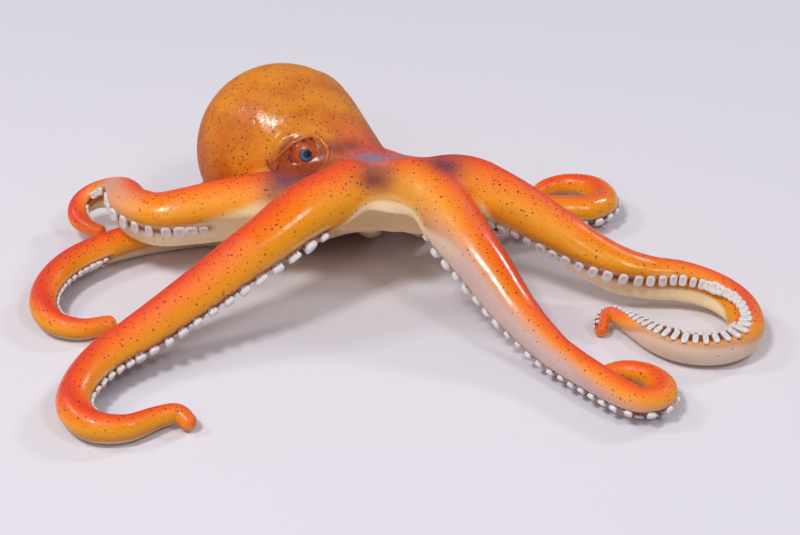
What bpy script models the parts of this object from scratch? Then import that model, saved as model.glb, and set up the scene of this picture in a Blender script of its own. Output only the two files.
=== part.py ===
"""A moulded octopus figure that stands on its mantle and on its curled arms.

Metres, +Z up. The origin is on the table, in the middle of the footprint. Each arm is a round, tapering
moulding that starts with a plug in its stub on the crown, and carries a strip with two rows of suckers.
"""

import math

import bmesh
import bpy
from mathutils import Matrix, Quaternion, Vector

MM = 0.001

# ---- Clearances ------------------------------------------------------------------------------------
GAP = 0.3 * MM                  # between pieces that are glued, plugged or pressed together
STRIP_GAP = 0.5 * MM            # between an arm and its strip, since both twist along the arm

# ---- The crown, where the arms meet ----------------------------------------------------------------
CROWN_AT = Vector((-2.0, 6.7)) * MM     # its middle, from the middle of the footprint
DOME_SIZE = Vector((19.0, 15.5, 13.0)) * MM     # half sizes of the dome over the arm roots
DOME_HEIGHT = 23.0 * MM                 # middle of the dome over the table
WEB_SIZE = Vector((12.0, 9.0, 8.5)) * MM        # half sizes of the web between the two front arms
WEB_HEIGHT = 25.5 * MM
WEB_FORWARD = 8.0 * MM
HOLLOW_SIZE = Vector((14.0, 14.0, 12.5)) * MM   # half sizes of the hollow under the dome
HOLLOW_HEIGHT = 16.5 * MM
HOLLOW_FORWARD = 9.0 * MM               # the hollow opens to the front, between the two front arms
HOLLOW_SIDE = -1.5 * MM

# ---- The mantle ------------------------------------------------------------------------------------
MANTLE_RADIUS = 25.6 * MM
MANTLE_BASE_RADIUS = 12.5 * MM          # of the flat that it rests on
MANTLE_BACK = 46.0 * MM                 # from the crown's middle to the mantle's
MANTLE_HEADING = math.radians(132.3)
NECK_RADIUS = 8.5 * MM
NECK_REACH = 38.0 * MM                  # from the mantle's middle to the middle of the neck's round end
NECK_HEIGHT = 27.5 * MM

# ---- The eyes --------------------------------------------------------------------------------------
# Where each eye sits on the mantle: the share of the way to the neck's end, how far it is turned round the
# neck, and how far it is tilted back from there over the ball.
EYES = {
    "left_eye": (0.52, math.radians(147.0), 0.0),
    "right_eye": (0.0, math.radians(28.0), math.radians(43.0)),
}
EYE_RADIUS = 7.4 * MM
EYE_PROUD = 0.9 * MM                    # how far the eyeball stands out of the swelling
BROW_SIZE = Vector((8.6, 6.4, 2.2)) * MM        # half sizes of the swelling round the eye
LID_REACH = Vector((6.8, 5.0)) * MM     # half sizes of the rim that the eyeball looks out of
LID_LIFT = 1.3 * MM
LID_THICKNESS = 0.6 * MM

# ---- The arms --------------------------------------------------------------------------------------
LEFT, RIGHT = 1, -1                     # the side of an arm, going outward, that its suckers turn to
PLUG_SHARE = 0.5                        # the plug's radius as a share of the arm's there
PLUG_LENGTH = 6.0 * MM
SEAM_RING = 1.0 * MM                    # from an arm's seam to the next ring
RING_SPACING = 1.0              # spacing of an arm's rings as a share of its radius
RING_TURN = 0.45                # the most, in radians, that an arm bends and twists between two rings
WRAP_POINTS = 7                         # route points of an arm that lies round the mantle
WRAP_ROOM = 1.1 * MM                    # what such an arm keeps clear of its neighbours
TIP_ROUND = (0.9, 0.62)                 # how an arm's last two rings close in
ARM_PROFILE = ((40, 0.92), (66, 1.0), (97, 1.0), (129, 1.0), (162, 1.0))    # degrees from the sucker side, radius

# A route's points are (x, y, lift, roll): x and y from the crown's middle, the height of the arm's
# underside over the table, all in mm, and how far in degrees its sucker side is turned out from straight
# down. 'radii' are (share of the length, radius in mm), 'seam' is the distance along the route, in mm, at
# which the arm leaves its stub, and 'suckers' is the stretch that carries them.
ARMS = {
    "front_left_arm": dict(
        side=LEFT, seam=31, suckers=(15, 124),
        radii=((0, 10), (0.14, 8.8), (0.28, 7.8), (0.41, 7), (0.52, 6.3), (0.62, 5.4), (0.72, 4.6), (0.85, 3.7),
               (0.93, 2.9), (1, 2.2)),
        route=(
            (-6, -4, 18, 30), (-20, -14.5, 18, 32), (-34, -27, 14, 34), (-48, -37, 8, 36), (-61, -46, 2.8, 38),
            (-71, -55, 0.3, 42), (-77, -67, 0, 50), (-77.5, -76, 0, 58), (-72, -83, 0, 64), (-64, -83.5, 0, 68),
            (-56, -78, 0.4, 70), (-51.5, -76.4, 0.8, 70), (-48.6, -79, 0, 70),
        ),
    ),
    "front_right_arm": dict(
        side=RIGHT, seam=27, suckers=(18, 118),
        radii=((0, 9.3), (0.15, 8.3), (0.3, 7), (0.37, 6.3), (0.44, 5.4), (0.52, 4.75), (0.59, 4.45), (0.7, 4.2),
               (0.8, 3.9), (0.9, 3.2), (1, 2.4)),
        route=(
            (4, -2, 19, 16), (12, -6, 18.5, 18), (17.5, -13.5, 15.5, 20), (26, -26, 10.5, 20), (34.6, -39.5, 5, 22),
            (45.2, -54, 1.2, 24), (52.3, -63, 0.2, 28), (59.3, -71, 0, 34), (64.3, -74.6, 0, 42),
            (69.2, -72.6, 0, 50), (70.9, -66.3, 0, 54), (68, -60.2, 0, 56), (62, -57.3, 0.4, 56), (56, -59, 0, 56),
        ),
    ),
    "right_arm": dict(
        side=RIGHT, seam=27, suckers=(21, 152),
        radii=((0, 8.8), (0.12, 8.4), (0.25, 7.4), (0.4, 6.5), (0.46, 5.9), (0.55, 5.2), (0.65, 4.8), (0.75, 4.6),
               (0.84, 4.3), (0.91, 3.3), (0.96, 2.3), (1, 1.9)),
        route=(
            (6, 2, 14.5, 22), (20, 2, 18.4, 22), (33, -3, 16.2, 27), (46, -10, 11.4, 44), (57, -15.6, 6.8, 63),
            (65, -18.2, 4.2, 76), (73, -18.5, 2.6, 86), (81.5, -18.5, 2, 94), (90.5, -21.5, 1, 104),
            (96.3, -29, 0.4, 122), (97, -38, 0, 142), (93.5, -45.2, 0, 160), (87, -48.4, 0, 170),
            (79, -47.4, 0, 174), (73, -43, 0, 174), (68, -36.5, 0.4, 168), (64, -31.5, 1.2, 156),
            (60.8, -30, 2, 140), (58.8, -31.8, 1.2, 125), (58.4, -35, 0, 110),
        ),
    ),
    "rear_right_arm": dict(
        side=RIGHT, seam=24, suckers=(26, 90),
        radii=((0, 8), (0.5, 5.2), (0.75, 3.9), (1, 2.3)),
        route=(
            (7, 6, 14, 30), (19, 11, 9.5, 34), (32, 17, 3.5, 38), (44, 21.5, 0.8, 42), (53, 24, 0, 44),
            (60.5, 25.2, 0, 46), (65, 29.8, 0, 48), (65.8, 37, 0, 50), (62.8, 44, 0, 52), (56, 47.4, 0, 54),
            (49.5, 46, 0.3, 56), (45, 40.5, 0, 56),
        ),
    ),
    "rear_outer_arm": dict(
        side=RIGHT, seam=33, suckers=(40, 96),
        radii=((0, 7.4), (1, 2.2)),
        route=((4, 4, 16, 40), (10, 12, 6, 50)),
        around_mantle=dict(headings=(-14, 92), shares=(0.25, 0.78), outside=(0.3, 2.6)),
        end=((-39, 67.5, 0, 56), (-46.5, 66.5, 0, 56), (-50, 69, 0, 56)),
    ),
    "rear_inner_arm": dict(
        side=RIGHT, seam=33, suckers=(40, 84),
        radii=((0, 7.4), (1, 2.2)),
        route=((-3, 4, 16, 40), (-4, 13, 5, 50)),
        around_mantle=dict(headings=(-20, 132), shares=(0.22, 0.7)),
        end=((-55, 45, 0, 56), (-59, 38, 0, 56), (-62, 31, 0, 56)),
    ),
    "low_left_arm": dict(
        side=LEFT, seam=36, suckers=(83, 123),
        radii=((0, 7.4), (0.45, 5.3), (0.6, 4.8), (0.72, 4.3), (0.82, 3.7), (0.92, 3.1), (1, 2.5)),
        route=(
            (-6, 4, 12, 50), (-18, 7.2, 6.8, 54), (-27, 9.4, 2.2, 58), (-35, 11, 0.3, 60), (-44, 13, 0, 62),
            (-51, 15.4, 0, 62), (-60, 13.5, 0, 62), (-70.5, 9.2, 0, 58), (-81.5, 1.8, 0, 48),
            (-89.4, -6.2, 0, 44), (-93.8, -16.6, 0, 48), (-93.8, -26.5, 0, 54), (-89.5, -34, 0, 62),
            (-82, -36.5, 0, 66), (-75, -33.5, 0, 66),
        ),
    ),
    "left_arm": dict(
        side=LEFT, seam=26, suckers=(40, 98),
        radii=((0, 9.2), (0.15, 9.4), (0.25, 9.3), (0.38, 8.7), (0.5, 7.8), (0.6, 6.8), (0.68, 5.9), (0.76, 4.9),
               (0.84, 3.9), (0.92, 3), (1, 2)),
        route=(
            (-6, 1, 12.5, 30), (-18, 0, 12.8, 34), (-30, 0, 12.6, 44), (-44, 0, 11, 58), (-55, 0, 9.6, 62),
            (-65, 0, 9.2, 66), (-72.6, 4.5, 10.4, 74), (-76, 13, 10.5, 80), (-79.2, 22, 8.4, 84),
            (-82.8, 26.6, 7, 84), (-87.4, 28, 5.8, 84), (-91, 25.2, 4.8, 82), (-91.4, 20.6, 3.6, 80),
            (-88.4, 17, 2.8, 78), (-84.4, 15.6, 2.4, 76),
        ),
    ),
}

# ---- The suckers -----------------------------------------------------------------------------------
# Their sizes are shares of the arm's radius where they sit.
STRIP_HALF_WIDTH = 0.58
STRIP_THICKNESS = 0.08
SUCKER_OFFSET = 0.36            # of each row from the middle of the strip
SUCKER_RADIUS = 0.22
SUCKER_HEIGHT = 0.22            # over the strip
SUCKER_SUNK = 0.4               # where its foot starts, as a share of the strip's thickness
SUCKER_FLARE = 0.8              # the mouth's radius against the foot's
SUCKER_SIDES = 6
SUCKER_ROOM = 0.2 * MM          # between the lowest sucker and the table

# ---- Finishes: colour, roughness, metallic ---------------------------------------------------------
FINISHES = {
    "painted_skin": ((0.85, 0.27, 0.03), 0.22, 0.0),
    "crown_skin": ((0.48, 0.14, 0.08), 0.24, 0.0),
    "white_sucker": ((0.86, 0.83, 0.76), 0.38, 0.0),
    "glossy_eye": ((0.05, 0.07, 0.10), 0.08, 0.0),
}


# ---- Blender helpers -------------------------------------------------------------------------------
def collection(name):
    made = bpy.data.collections.new(name)
    bpy.context.scene.collection.children.link(made)
    return made


def add(name, mesh, where):
    obj = bpy.data.objects.new(name, mesh)
    where.objects.link(obj)
    return obj


def hide_guide(obj):
    """A cutter or a guide is seen only as wire, and isn't a part."""
    obj.hide_render = True
    obj.display_type = "WIRE"
    return obj


def set_finish(obj, finish):
    material = bpy.data.materials.get(finish)
    if material is None:
        material = bpy.data.materials.new(finish)
        material.use_nodes = True
        shader = material.node_tree.nodes["Principled BSDF"]
        colour, roughness, metallic = FINISHES[finish]
        shader.inputs["Base Color"].default_value = (*colour, 1.0)
        shader.inputs["Roughness"].default_value = roughness
        shader.inputs["Metallic"].default_value = metallic
    obj.data.materials.clear()
    obj.data.materials.append(material)
    obj.data.shade_smooth()
    obj.data.set_sharp_from_angle(angle=math.radians(40))


def to_mesh(obj, where):
    """Replaces a curve, or an object with modifiers, by the closed mesh that it makes."""
    bpy.context.view_layer.update()
    graph = bpy.context.evaluated_depsgraph_get()
    mesh = bpy.data.meshes.new_from_object(obj.evaluated_get(graph))
    name, matrix = obj.name, obj.matrix_world.copy()
    bpy.data.objects.remove(obj)
    cage = bmesh.new()
    cage.from_mesh(mesh)
    bmesh.ops.remove_doubles(cage, verts=cage.verts, dist=0.001 * MM)
    bmesh.ops.recalc_face_normals(cage, faces=cage.faces)
    cage.to_mesh(mesh)
    cage.free()
    made = add(name, mesh, where)
    made.matrix_world = matrix
    return made


def boolean(obj, other, operation, crossing=False):
    """'crossing' is for a cutter whose own pieces run into each other."""
    cut = obj.modifiers.new(other.name, "BOOLEAN")
    cut.object = other
    cut.operation = operation
    cut.solver = "EXACT"
    cut.use_self = crossing


def ball(name, half_sizes, place, where, segments=24, rings=16):
    """An ellipsoid whose half sizes lie along the axes of 'place'."""
    cage = bmesh.new()
    bmesh.ops.create_uvsphere(
        cage, u_segments=segments, v_segments=rings, radius=1.0,
        matrix=place @ Matrix.Diagonal((*half_sizes, 1.0)),
    )
    mesh = bpy.data.meshes.new(name)
    cage.to_mesh(mesh)
    cage.free()
    return add(name, mesh, where)


# ---- Places on the mantle --------------------------------------------------------------------------
def mantle_middle():
    """The ball is cut flat underneath, so its middle stands a little lower than its radius."""
    height = math.sqrt(MANTLE_RADIUS ** 2 - MANTLE_BASE_RADIUS ** 2)
    return Vector((
        CROWN_AT.x + MANTLE_BACK * math.cos(MANTLE_HEADING),
        CROWN_AT.y + MANTLE_BACK * math.sin(MANTLE_HEADING),
        height,
    ))


def neck_end():
    middle = mantle_middle()
    toward = MANTLE_HEADING + math.pi
    return Vector((
        middle.x + NECK_REACH * math.cos(toward),
        middle.y + NECK_REACH * math.sin(toward),
        NECK_HEIGHT,
    ))


def reach_beside_mantle(radius):
    """How far from the mantle's middle an arm of this radius lies when it rests on the table against it."""
    height = mantle_middle().z - radius
    return math.sqrt((MANTLE_RADIUS + radius + GAP) ** 2 - height ** 2)


# ---- Routes and rings of the arms ------------------------------------------------------------------
def smooth_route(points, steps=16):
    """A centripetal Catmull-Rom curve through the points, each a list of numbers that start with x and y."""
    first = [2 * a - b for a, b in zip(points[0], points[1])]
    last = [2 * a - b for a, b in zip(points[-1], points[-2])]
    row = [first, *points, last]

    def between(a, b, share):
        return [x + (y - x) * share for x, y in zip(a, b)]

    path = []
    for p0, p1, p2, p3 in zip(row, row[1:], row[2:], row[3:]):
        knots = [0.0]
        for a, b in ((p0, p1), (p1, p2), (p2, p3)):
            knots.append(knots[-1] + math.sqrt(math.dist(a[:2], b[:2])))
        t0, t1, t2, t3 = knots
        for step in range(steps):
            t = t1 + (t2 - t1) * step / steps
            a1 = between(p0, p1, (t - t0) / (t1 - t0))
            a2 = between(p1, p2, (t - t1) / (t2 - t1))
            a3 = between(p2, p3, (t - t2) / (t3 - t2))
            b1 = between(a1, a2, (t - t0) / (t2 - t0))
            b2 = between(a2, a3, (t - t1) / (t3 - t1))
            path.append(between(b1, b2, (t - t1) / (t2 - t1)))
    path.append(list(points[-1]))
    return path


def radius_at(arm, share):
    """The radius of an arm at a share of its length."""
    for (before, thick), (after, thin) in zip(arm["radii"], arm["radii"][1:]):
        if share <= after:
            break
    return (thick + (thin - thick) * (share - before) / (after - before)) * MM


def wrap_points(arm):
    """Route points of an arm that lies round the mantle, against it or outside the arm that does."""
    wrap = arm["around_mantle"]
    middle = mantle_middle()
    found = []
    for index in range(WRAP_POINTS):
        step = index / (WRAP_POINTS - 1)
        heading = math.radians(wrap["headings"][0] + (wrap["headings"][1] - wrap["headings"][0]) * step)
        radius = radius_at(arm, wrap["shares"][0] + (wrap["shares"][1] - wrap["shares"][0]) * step) + WRAP_ROOM
        reach = reach_beside_mantle(radius)
        if "outside" in wrap:
            near, far = wrap["outside"]
            reach += 2 * radius + (near + (far - near) * step) * MM
        x = middle.x + reach * math.cos(heading) - CROWN_AT.x
        y = middle.y + reach * math.sin(heading) - CROWN_AT.y
        found.append((x / MM, y / MM, 0.0, 66.0))
    return found


def sucker_clearance(radius, roll):
    """The least height of an arm's middle over the table at which its suckers stay clear of the table."""
    face = (strip_face() + STRIP_THICKNESS + SUCKER_HEIGHT) * radius + STRIP_GAP
    side = (SUCKER_OFFSET + SUCKER_RADIUS * SUCKER_FLARE) * radius
    return face * math.cos(roll) + side * math.sin(roll) + SUCKER_ROOM


class Route:
    """An arm's middle line, radius and roll, by the distance along it."""

    def __init__(self, arm):
        points = list(arm["route"])
        if "around_mantle" in arm:
            points += wrap_points(arm) + list(arm["end"])
        path = smooth_route([list(point) for point in points])
        self.side = arm["side"]
        flat = [Vector((CROWN_AT.x + x * MM, CROWN_AT.y + y * MM, max(lift, 0.0) * MM)) for x, y, lift, _ in path]
        self.marks = [0.0]
        for a, b in zip(flat, flat[1:]):
            self.marks.append(self.marks[-1] + (b - a).length)
        self.length = self.marks[-1]
        self.rolls = [math.radians(point[3]) for point in path]
        self.radii = [radius_at(arm, mark / self.length) for mark in self.marks]
        self.middles = []
        for place, radius, roll in zip(flat, self.radii, self.rolls):
            height = max(place.z + radius, sucker_clearance(radius, roll))
            self.middles.append(Vector((place.x, place.y, height)))

    def at(self, distance):
        """The middle, radius and roll at a distance along the arm."""
        distance = min(max(distance, 0.0), self.length)
        index = max(i for i, mark in enumerate(self.marks[:-1]) if mark <= distance)
        share = (distance - self.marks[index]) / (self.marks[index + 1] - self.marks[index])
        middle = self.middles[index].lerp(self.middles[index + 1], share)
        radius = self.radii[index] + (self.radii[index + 1] - self.radii[index]) * share
        roll = self.rolls[index] + (self.rolls[index + 1] - self.rolls[index]) * share
        return middle, radius, roll

    def heading(self, distance):
        step = 0.5 * MM
        distance = min(max(distance, step), self.length - step)
        return (self.at(distance + step)[0] - self.at(distance - step)[0]).normalized()

    def sucker_side(self, distance):
        """The direction that the suckers face, square to the arm."""
        along = self.heading(distance)
        across = Vector((0, 0, 1)).cross(along).normalized() * self.side
        down = across.cross(along) * self.side
        if down.z > 0:
            down.negate()
        roll = self.at(distance)[2]
        return (down * math.cos(roll) + across * math.sin(roll)).normalized()

    def rings(self):
        """Distances of the arm's rings, whose spacing follows its radius. A pair of suckers fits between two."""
        found = [0.0]
        while found[-1] < self.length:
            _, radius, roll = self.at(found[-1])
            ahead = found[-1] + radius
            turn = self.heading(found[-1]).angle(self.heading(ahead), 0.0) + abs(self.at(ahead)[2] - roll)
            found.append(found[-1] + radius * min(RING_SPACING, RING_TURN / max(turn, 0.1)))
        shrink = self.length / found[-1]
        return [distance * shrink for distance in found]


def profile_curve(name, points, where):
    """A closed outline, in shares of the radius of the arm that is swept with it."""
    curve = bpy.data.curves.new(name, "CURVE")
    curve.dimensions = "2D"
    spline = curve.splines.new("POLY")
    spline.points.add(len(points) - 1)
    for point, (x, y) in zip(spline.points, points):
        point.co = (x, y, 0.0, 1.0)
    spline.use_cyclic_u = True
    return hide_guide(add(name, curve, where))


def arm_outline():
    """Round, but flattened on the side of the suckers, which is +X."""
    half = [(math.radians(angle), radius) for angle, radius in ARM_PROFILE]
    around = [(0.0, strip_face())] + half + [(-angle, radius) for angle, radius in reversed(half)]
    return [(radius * math.cos(angle), radius * math.sin(angle)) for angle, radius in around]


def strip_face():
    """How far the sucker side of an arm lies from its middle, as a share of its radius."""
    angle, radius = ARM_PROFILE[0]
    return radius * math.cos(math.radians(angle))


def directions(points):
    """The direction of a chain at each of its points, halfway between its two links there."""
    found = []
    for index, point in enumerate(points):
        before = (point - points[max(index - 1, 0)]).normalized()
        after = (points[min(index + 1, len(points) - 1)] - point).normalized()
        found.append((before + after).normalized())
    return found


def sweep(name, stations, profile, where):
    """Sweeps a profile along stations (point, radius, direction of the profile's +X) and returns the mesh."""
    curve = bpy.data.curves.new(name, "CURVE")
    curve.dimensions = "3D"
    curve.twist_mode = "Z_UP"
    curve.bevel_mode = "OBJECT"
    curve.bevel_object = profile
    curve.use_fill_caps = True
    curve.resolution_u = 1
    spline = curve.splines.new("POLY")
    spline.points.add(len(stations) - 1)
    alongs = directions([station[0] for station in stations])
    for point, along, (middle, radius, toward) in zip(spline.points, alongs, stations):
        level = along.to_track_quat("-Z", "Y") @ Vector((1, 0, 0))
        point.co = (*middle, 1.0)
        point.radius = radius
        point.tilt = math.atan2(toward.dot(along.cross(level)), toward.dot(level))
    return to_mesh(add(name, curve, where), where)


def frame_along(middle, along):
    """A placing matrix whose +Z points along the arm."""
    return Matrix.Translation(middle) @ along.to_track_quat("Z", "Y").to_matrix().to_4x4()


def peg(name, route, start, stop, radius, where):
    """A round peg along a short straight part of an arm's route."""
    middle = route.at(0.5 * (start + stop))[0]
    along = (route.at(stop)[0] - route.at(start)[0]).normalized()
    cage = bmesh.new()
    bmesh.ops.create_cone(
        cage, cap_ends=True, segments=10, radius1=radius, radius2=radius, depth=stop - start,
        matrix=frame_along(middle, along),
    )
    mesh = bpy.data.meshes.new(name)
    cage.to_mesh(mesh)
    cage.free()
    return hide_guide(add(name, mesh, where))


# ---- Arms ------------------------------------------------------------------------------------------
def stations_of(route, distances):
    found = []
    for distance in distances:
        middle, radius, _ = route.at(distance)
        found.append((middle, radius, route.sucker_side(distance)))
    return found


def make_stub(name, arm, route, profile, helpers):
    """The start of the arm, as part of the crown. Its last two rings lie close, so that its end is square."""
    seam = arm["seam"] * MM
    kept = [distance for distance in route.rings() if distance < seam - 2 * SEAM_RING]
    stations = stations_of(route, [*kept, seam - SEAM_RING, seam])
    return hide_guide(sweep(f"{name}_stub", stations, profile, helpers))


def make_arm(name, arm, route, profile, parts, helpers):
    seam = arm["seam"] * MM + GAP
    kept = [distance for distance in route.rings() if distance > seam + 2 * SEAM_RING]
    stations = stations_of(route, [seam, seam + SEAM_RING, *kept])
    for back, share in enumerate(reversed(TIP_ROUND)):
        middle, radius, toward = stations[-1 - back]
        stations[-1 - back] = (middle, radius * share, toward)
    obj = sweep(name, stations, profile, parts)
    plug_radius = PLUG_SHARE * route.at(seam)[1]
    plug = peg(f"{name}_plug", route, seam - PLUG_LENGTH, seam + GAP, plug_radius, helpers)
    boolean(obj, plug, "UNION")
    return obj


def make_socket(name, arm, route, helpers):
    seam = arm["seam"] * MM
    radius = PLUG_SHARE * route.at(seam + GAP)[1] + GAP
    return peg(f"{name}_socket", route, seam - PLUG_LENGTH - GAP, seam + 2 * GAP, radius, helpers)


def make_sucker(cage, before, after, row):
    """One flaring sucker on the facet between two rings of the strip, with its foot inside the strip."""
    radius = 0.5 * (before[1] + after[1])
    out = (before[2] + after[2]).normalized()
    across = (after[0] - before[0]).cross(out).normalized()
    foot = SUCKER_SUNK * STRIP_THICKNESS * radius
    height = (STRIP_THICKNESS + SUCKER_HEIGHT) * radius - foot
    place = before[0].lerp(after[0], 0.5) + out * (foot + 0.5 * height) + across * (row * SUCKER_OFFSET * radius)
    bmesh.ops.create_cone(
        cage, cap_ends=True, segments=SUCKER_SIDES,
        radius1=SUCKER_RADIUS * radius, radius2=SUCKER_FLARE * SUCKER_RADIUS * radius, depth=height,
        matrix=frame_along(place, out),
    )


def make_suckers(name, arm, route, profile, parts, helpers):
    """The strip lies on the arm's flat side, and two rows of suckers stand on it."""
    start, stop = (mark * MM for mark in arm["suckers"])
    distances = route.rings()
    rings = stations_of(route, distances)
    stations = []
    for distance, along, (middle, radius, toward) in zip(distances, directions([ring[0] for ring in rings]), rings):
        if start < distance < stop:
            out = (toward - along * toward.dot(along)).normalized()
            stations.append((middle + out * (strip_face() * radius + STRIP_GAP), radius, out))
    strip = sweep(name, stations, profile, parts)
    cage = bmesh.new()
    for before, after in zip(stations, stations[1:]):
        for row in (-1, 1):
            make_sucker(cage, before, after, row)
    mesh = bpy.data.meshes.new(f"{name}_cups")
    cage.to_mesh(mesh)
    cage.free()
    boolean(strip, hide_guide(add(f"{name}_cups", mesh, helpers)), "UNION", crossing=True)
    return strip


# ---- Mantle ----------------------------------------------------------------------------------------
def teardrop(name, grow, where):
    """The ball and its neck, turned about the line from the mantle's middle to the neck's end."""
    middle, end = mantle_middle(), neck_end()
    big, small = MANTLE_RADIUS + grow, NECK_RADIUS + grow
    reach = (end - middle).length
    lean = math.asin((big - small) / reach)
    big_steps, small_steps = 12, 4
    profile = []
    for step in range(small_steps + 1):
        angle = lean + (math.pi / 2 - lean) * (1 - step / small_steps)
        profile.append((small * math.cos(angle), reach + small * math.sin(angle)))
    for step in range(big_steps + 1):
        angle = lean - (math.pi / 2 + lean) * step / big_steps
        profile.append((big * math.cos(angle), big * math.sin(angle)))
    profile[0] = (0.0, reach + small)
    profile[-1] = (0.0, -big)
    cage = bmesh.new()
    corners = [cage.verts.new((x, 0.0, z)) for x, z in profile]
    for a, b in zip(corners, corners[1:]):
        cage.edges.new((a, b))
    mesh = bpy.data.meshes.new(name)
    cage.to_mesh(mesh)
    cage.free()
    obj = add(name, mesh, where)
    turn = obj.modifiers.new("turn", "SCREW")
    turn.steps = turn.render_steps = 28
    turn.use_merge_vertices = True
    turn.merge_threshold = 0.01 * MM
    turn.use_normal_calculate = True
    obj.matrix_world = frame_along(middle, (end - middle).normalized())
    made = to_mesh(obj, where)
    made.data.transform(made.matrix_world)
    made.matrix_world = Matrix.Identity(4)
    return made


def eye_place(share, turn, back):
    """A placing matrix on the mantle, +Z out of it and +Y up."""
    middle, end = mantle_middle(), neck_end()
    axis = (end - middle).normalized()
    right = Vector((0, 0, 1)).cross(axis).normalized()
    side = right * math.cos(turn) + axis.cross(right) * math.sin(turn)
    slope = math.asin((MANTLE_RADIUS - NECK_RADIUS) / (end - middle).length) - back
    out = axis * math.sin(slope) + side * math.cos(slope)
    radius = MANTLE_RADIUS + (NECK_RADIUS - MANTLE_RADIUS) * share
    across = Vector((0, 0, 1)).cross(out).normalized()
    frame = Matrix((across, out.cross(across), out)).transposed().to_4x4()
    return Matrix.Translation(middle.lerp(end, share) + out * radius) @ frame


def make_lid(name, place, helpers):
    """The rim of the eye opening, as a ring round the eyeball."""
    cage = bmesh.new()
    sides, around = 5, 16
    for turn in range(around):
        angle = math.tau * turn / around
        for side in range(sides):
            tilt = math.tau * side / sides
            out = LID_THICKNESS * math.cos(tilt)
            x, y = (LID_REACH.x + out) * math.cos(angle), (LID_REACH.y + out) * math.sin(angle)
            cage.verts.new(place @ Vector((x, y, LID_LIFT + LID_THICKNESS * math.sin(tilt))))
    cage.verts.ensure_lookup_table()
    for turn in range(around):
        for side in range(sides):
            a = turn * sides + side
            b = turn * sides + (side + 1) % sides
            c = ((turn + 1) % around) * sides + (side + 1) % sides
            d = ((turn + 1) % around) * sides + side
            cage.faces.new([cage.verts[i] for i in (a, d, c, b)])
    bmesh.ops.recalc_face_normals(cage, faces=cage.faces)
    mesh = bpy.data.meshes.new(name)
    cage.to_mesh(mesh)
    cage.free()
    return hide_guide(add(name, mesh, helpers))


def make_mantle(parts, helpers):
    mantle = teardrop("mantle", 0.0, parts)
    for name, spot in EYES.items():
        place = eye_place(*spot)
        boolean(mantle, hide_guide(ball(f"{name}_brow", BROW_SIZE, place, helpers, 16, 10)), "UNION")
        boolean(mantle, make_lid(f"{name}_lid", place, helpers), "UNION")
        sunk = place @ Matrix.Translation((0, 0, BROW_SIZE.z + EYE_PROUD - EYE_RADIUS))
        socket = ball(f"{name}_socket", Vector((1, 1, 1)) * (EYE_RADIUS + GAP), sunk, helpers, 16, 12)
        boolean(mantle, hide_guide(socket), "DIFFERENCE")
        eye = ball(name, Vector((1, 1, 1)) * EYE_RADIUS, sunk, parts, 16, 12)
        set_finish(eye, "glossy_eye")
    cage = bmesh.new()
    bmesh.ops.create_cube(cage, size=1.0)
    table = bpy.data.meshes.new("under_the_table")
    cage.to_mesh(table)
    cage.free()
    under = hide_guide(add("under_the_table", table, helpers))
    width = 4 * MANTLE_RADIUS
    under.data.transform(Matrix.Diagonal((width, width, MANTLE_RADIUS, 1.0)))
    middle = mantle_middle()
    under.location = (middle.x, middle.y, -0.5 * MANTLE_RADIUS)
    boolean(mantle, under, "DIFFERENCE")
    set_finish(mantle, "painted_skin")
    return mantle


def make_mantle_room(helpers):
    """What the arms and the crown leave free for the mantle and for the swellings round its eyes."""
    room = hide_guide(teardrop("mantle_room", GAP, helpers))
    grown = BROW_SIZE + Vector((1, 1, 1)) * (LID_THICKNESS + GAP)
    for name, spot in EYES.items():
        boolean(room, hide_guide(ball(f"{name}_room", grown, eye_place(*spot), helpers, 16, 10)), "UNION")
    return room


# ---- Crown -----------------------------------------------------------------------------------------
def make_crown(stubs, sockets, mantle_room, parts, helpers):
    """The dome over the stubs, hollow underneath and open to the front."""
    middle = Vector((CROWN_AT.x, CROWN_AT.y, DOME_HEIGHT))
    crown = ball("crown", DOME_SIZE, Matrix.Translation(middle), parts)
    web_middle = Vector((CROWN_AT.x, CROWN_AT.y - WEB_FORWARD, WEB_HEIGHT))
    web = ball("crown_web", WEB_SIZE, Matrix.Translation(web_middle), helpers, 20, 12)
    boolean(crown, hide_guide(web), "UNION")
    for stub in stubs:
        boolean(crown, stub, "UNION")
    hollow_middle = Vector((CROWN_AT.x + HOLLOW_SIDE, CROWN_AT.y - HOLLOW_FORWARD, HOLLOW_HEIGHT))
    hollow = ball("crown_hollow", HOLLOW_SIZE, Matrix.Translation(hollow_middle), helpers, 20, 12)
    boolean(crown, hide_guide(hollow), "DIFFERENCE")
    boolean(crown, mantle_room, "DIFFERENCE")
    for socket in sockets:
        boolean(crown, socket, "DIFFERENCE")
    set_finish(crown, "crown_skin")
    return crown


def main():
    for obj in list(bpy.data.objects):
        bpy.data.objects.remove(obj)
    parts = collection("octopus_figure")
    helpers = collection("cutters_and_guides")
    arm_profile = profile_curve("arm_profile", arm_outline(), helpers)
    half, thick = STRIP_HALF_WIDTH, STRIP_THICKNESS
    strip_outline = ((0.0, 0.0), (0.0, -half), (thick, -0.9 * half), (thick, 0.9 * half), (0.0, half))
    strip_profile = profile_curve("strip_profile", strip_outline, helpers)

    make_mantle(parts, helpers)
    mantle_room = make_mantle_room(helpers)
    stubs, sockets = [], []
    for name, arm in ARMS.items():
        route = Route(arm)
        stubs.append(make_stub(name, arm, route, arm_profile, helpers))
        sockets.append(make_socket(name, arm, route, helpers))
        obj = make_arm(name, arm, route, arm_profile, parts, helpers)
        boolean(obj, mantle_room, "DIFFERENCE")
        set_finish(obj, "painted_skin")
        strip_name = name.replace("_arm", "_suckers")
        strip = make_suckers(strip_name, arm, route, strip_profile, parts, helpers)
        set_finish(strip, "white_sucker")
    make_crown(stubs, sockets, mantle_room, parts, helpers)


main()
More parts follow.
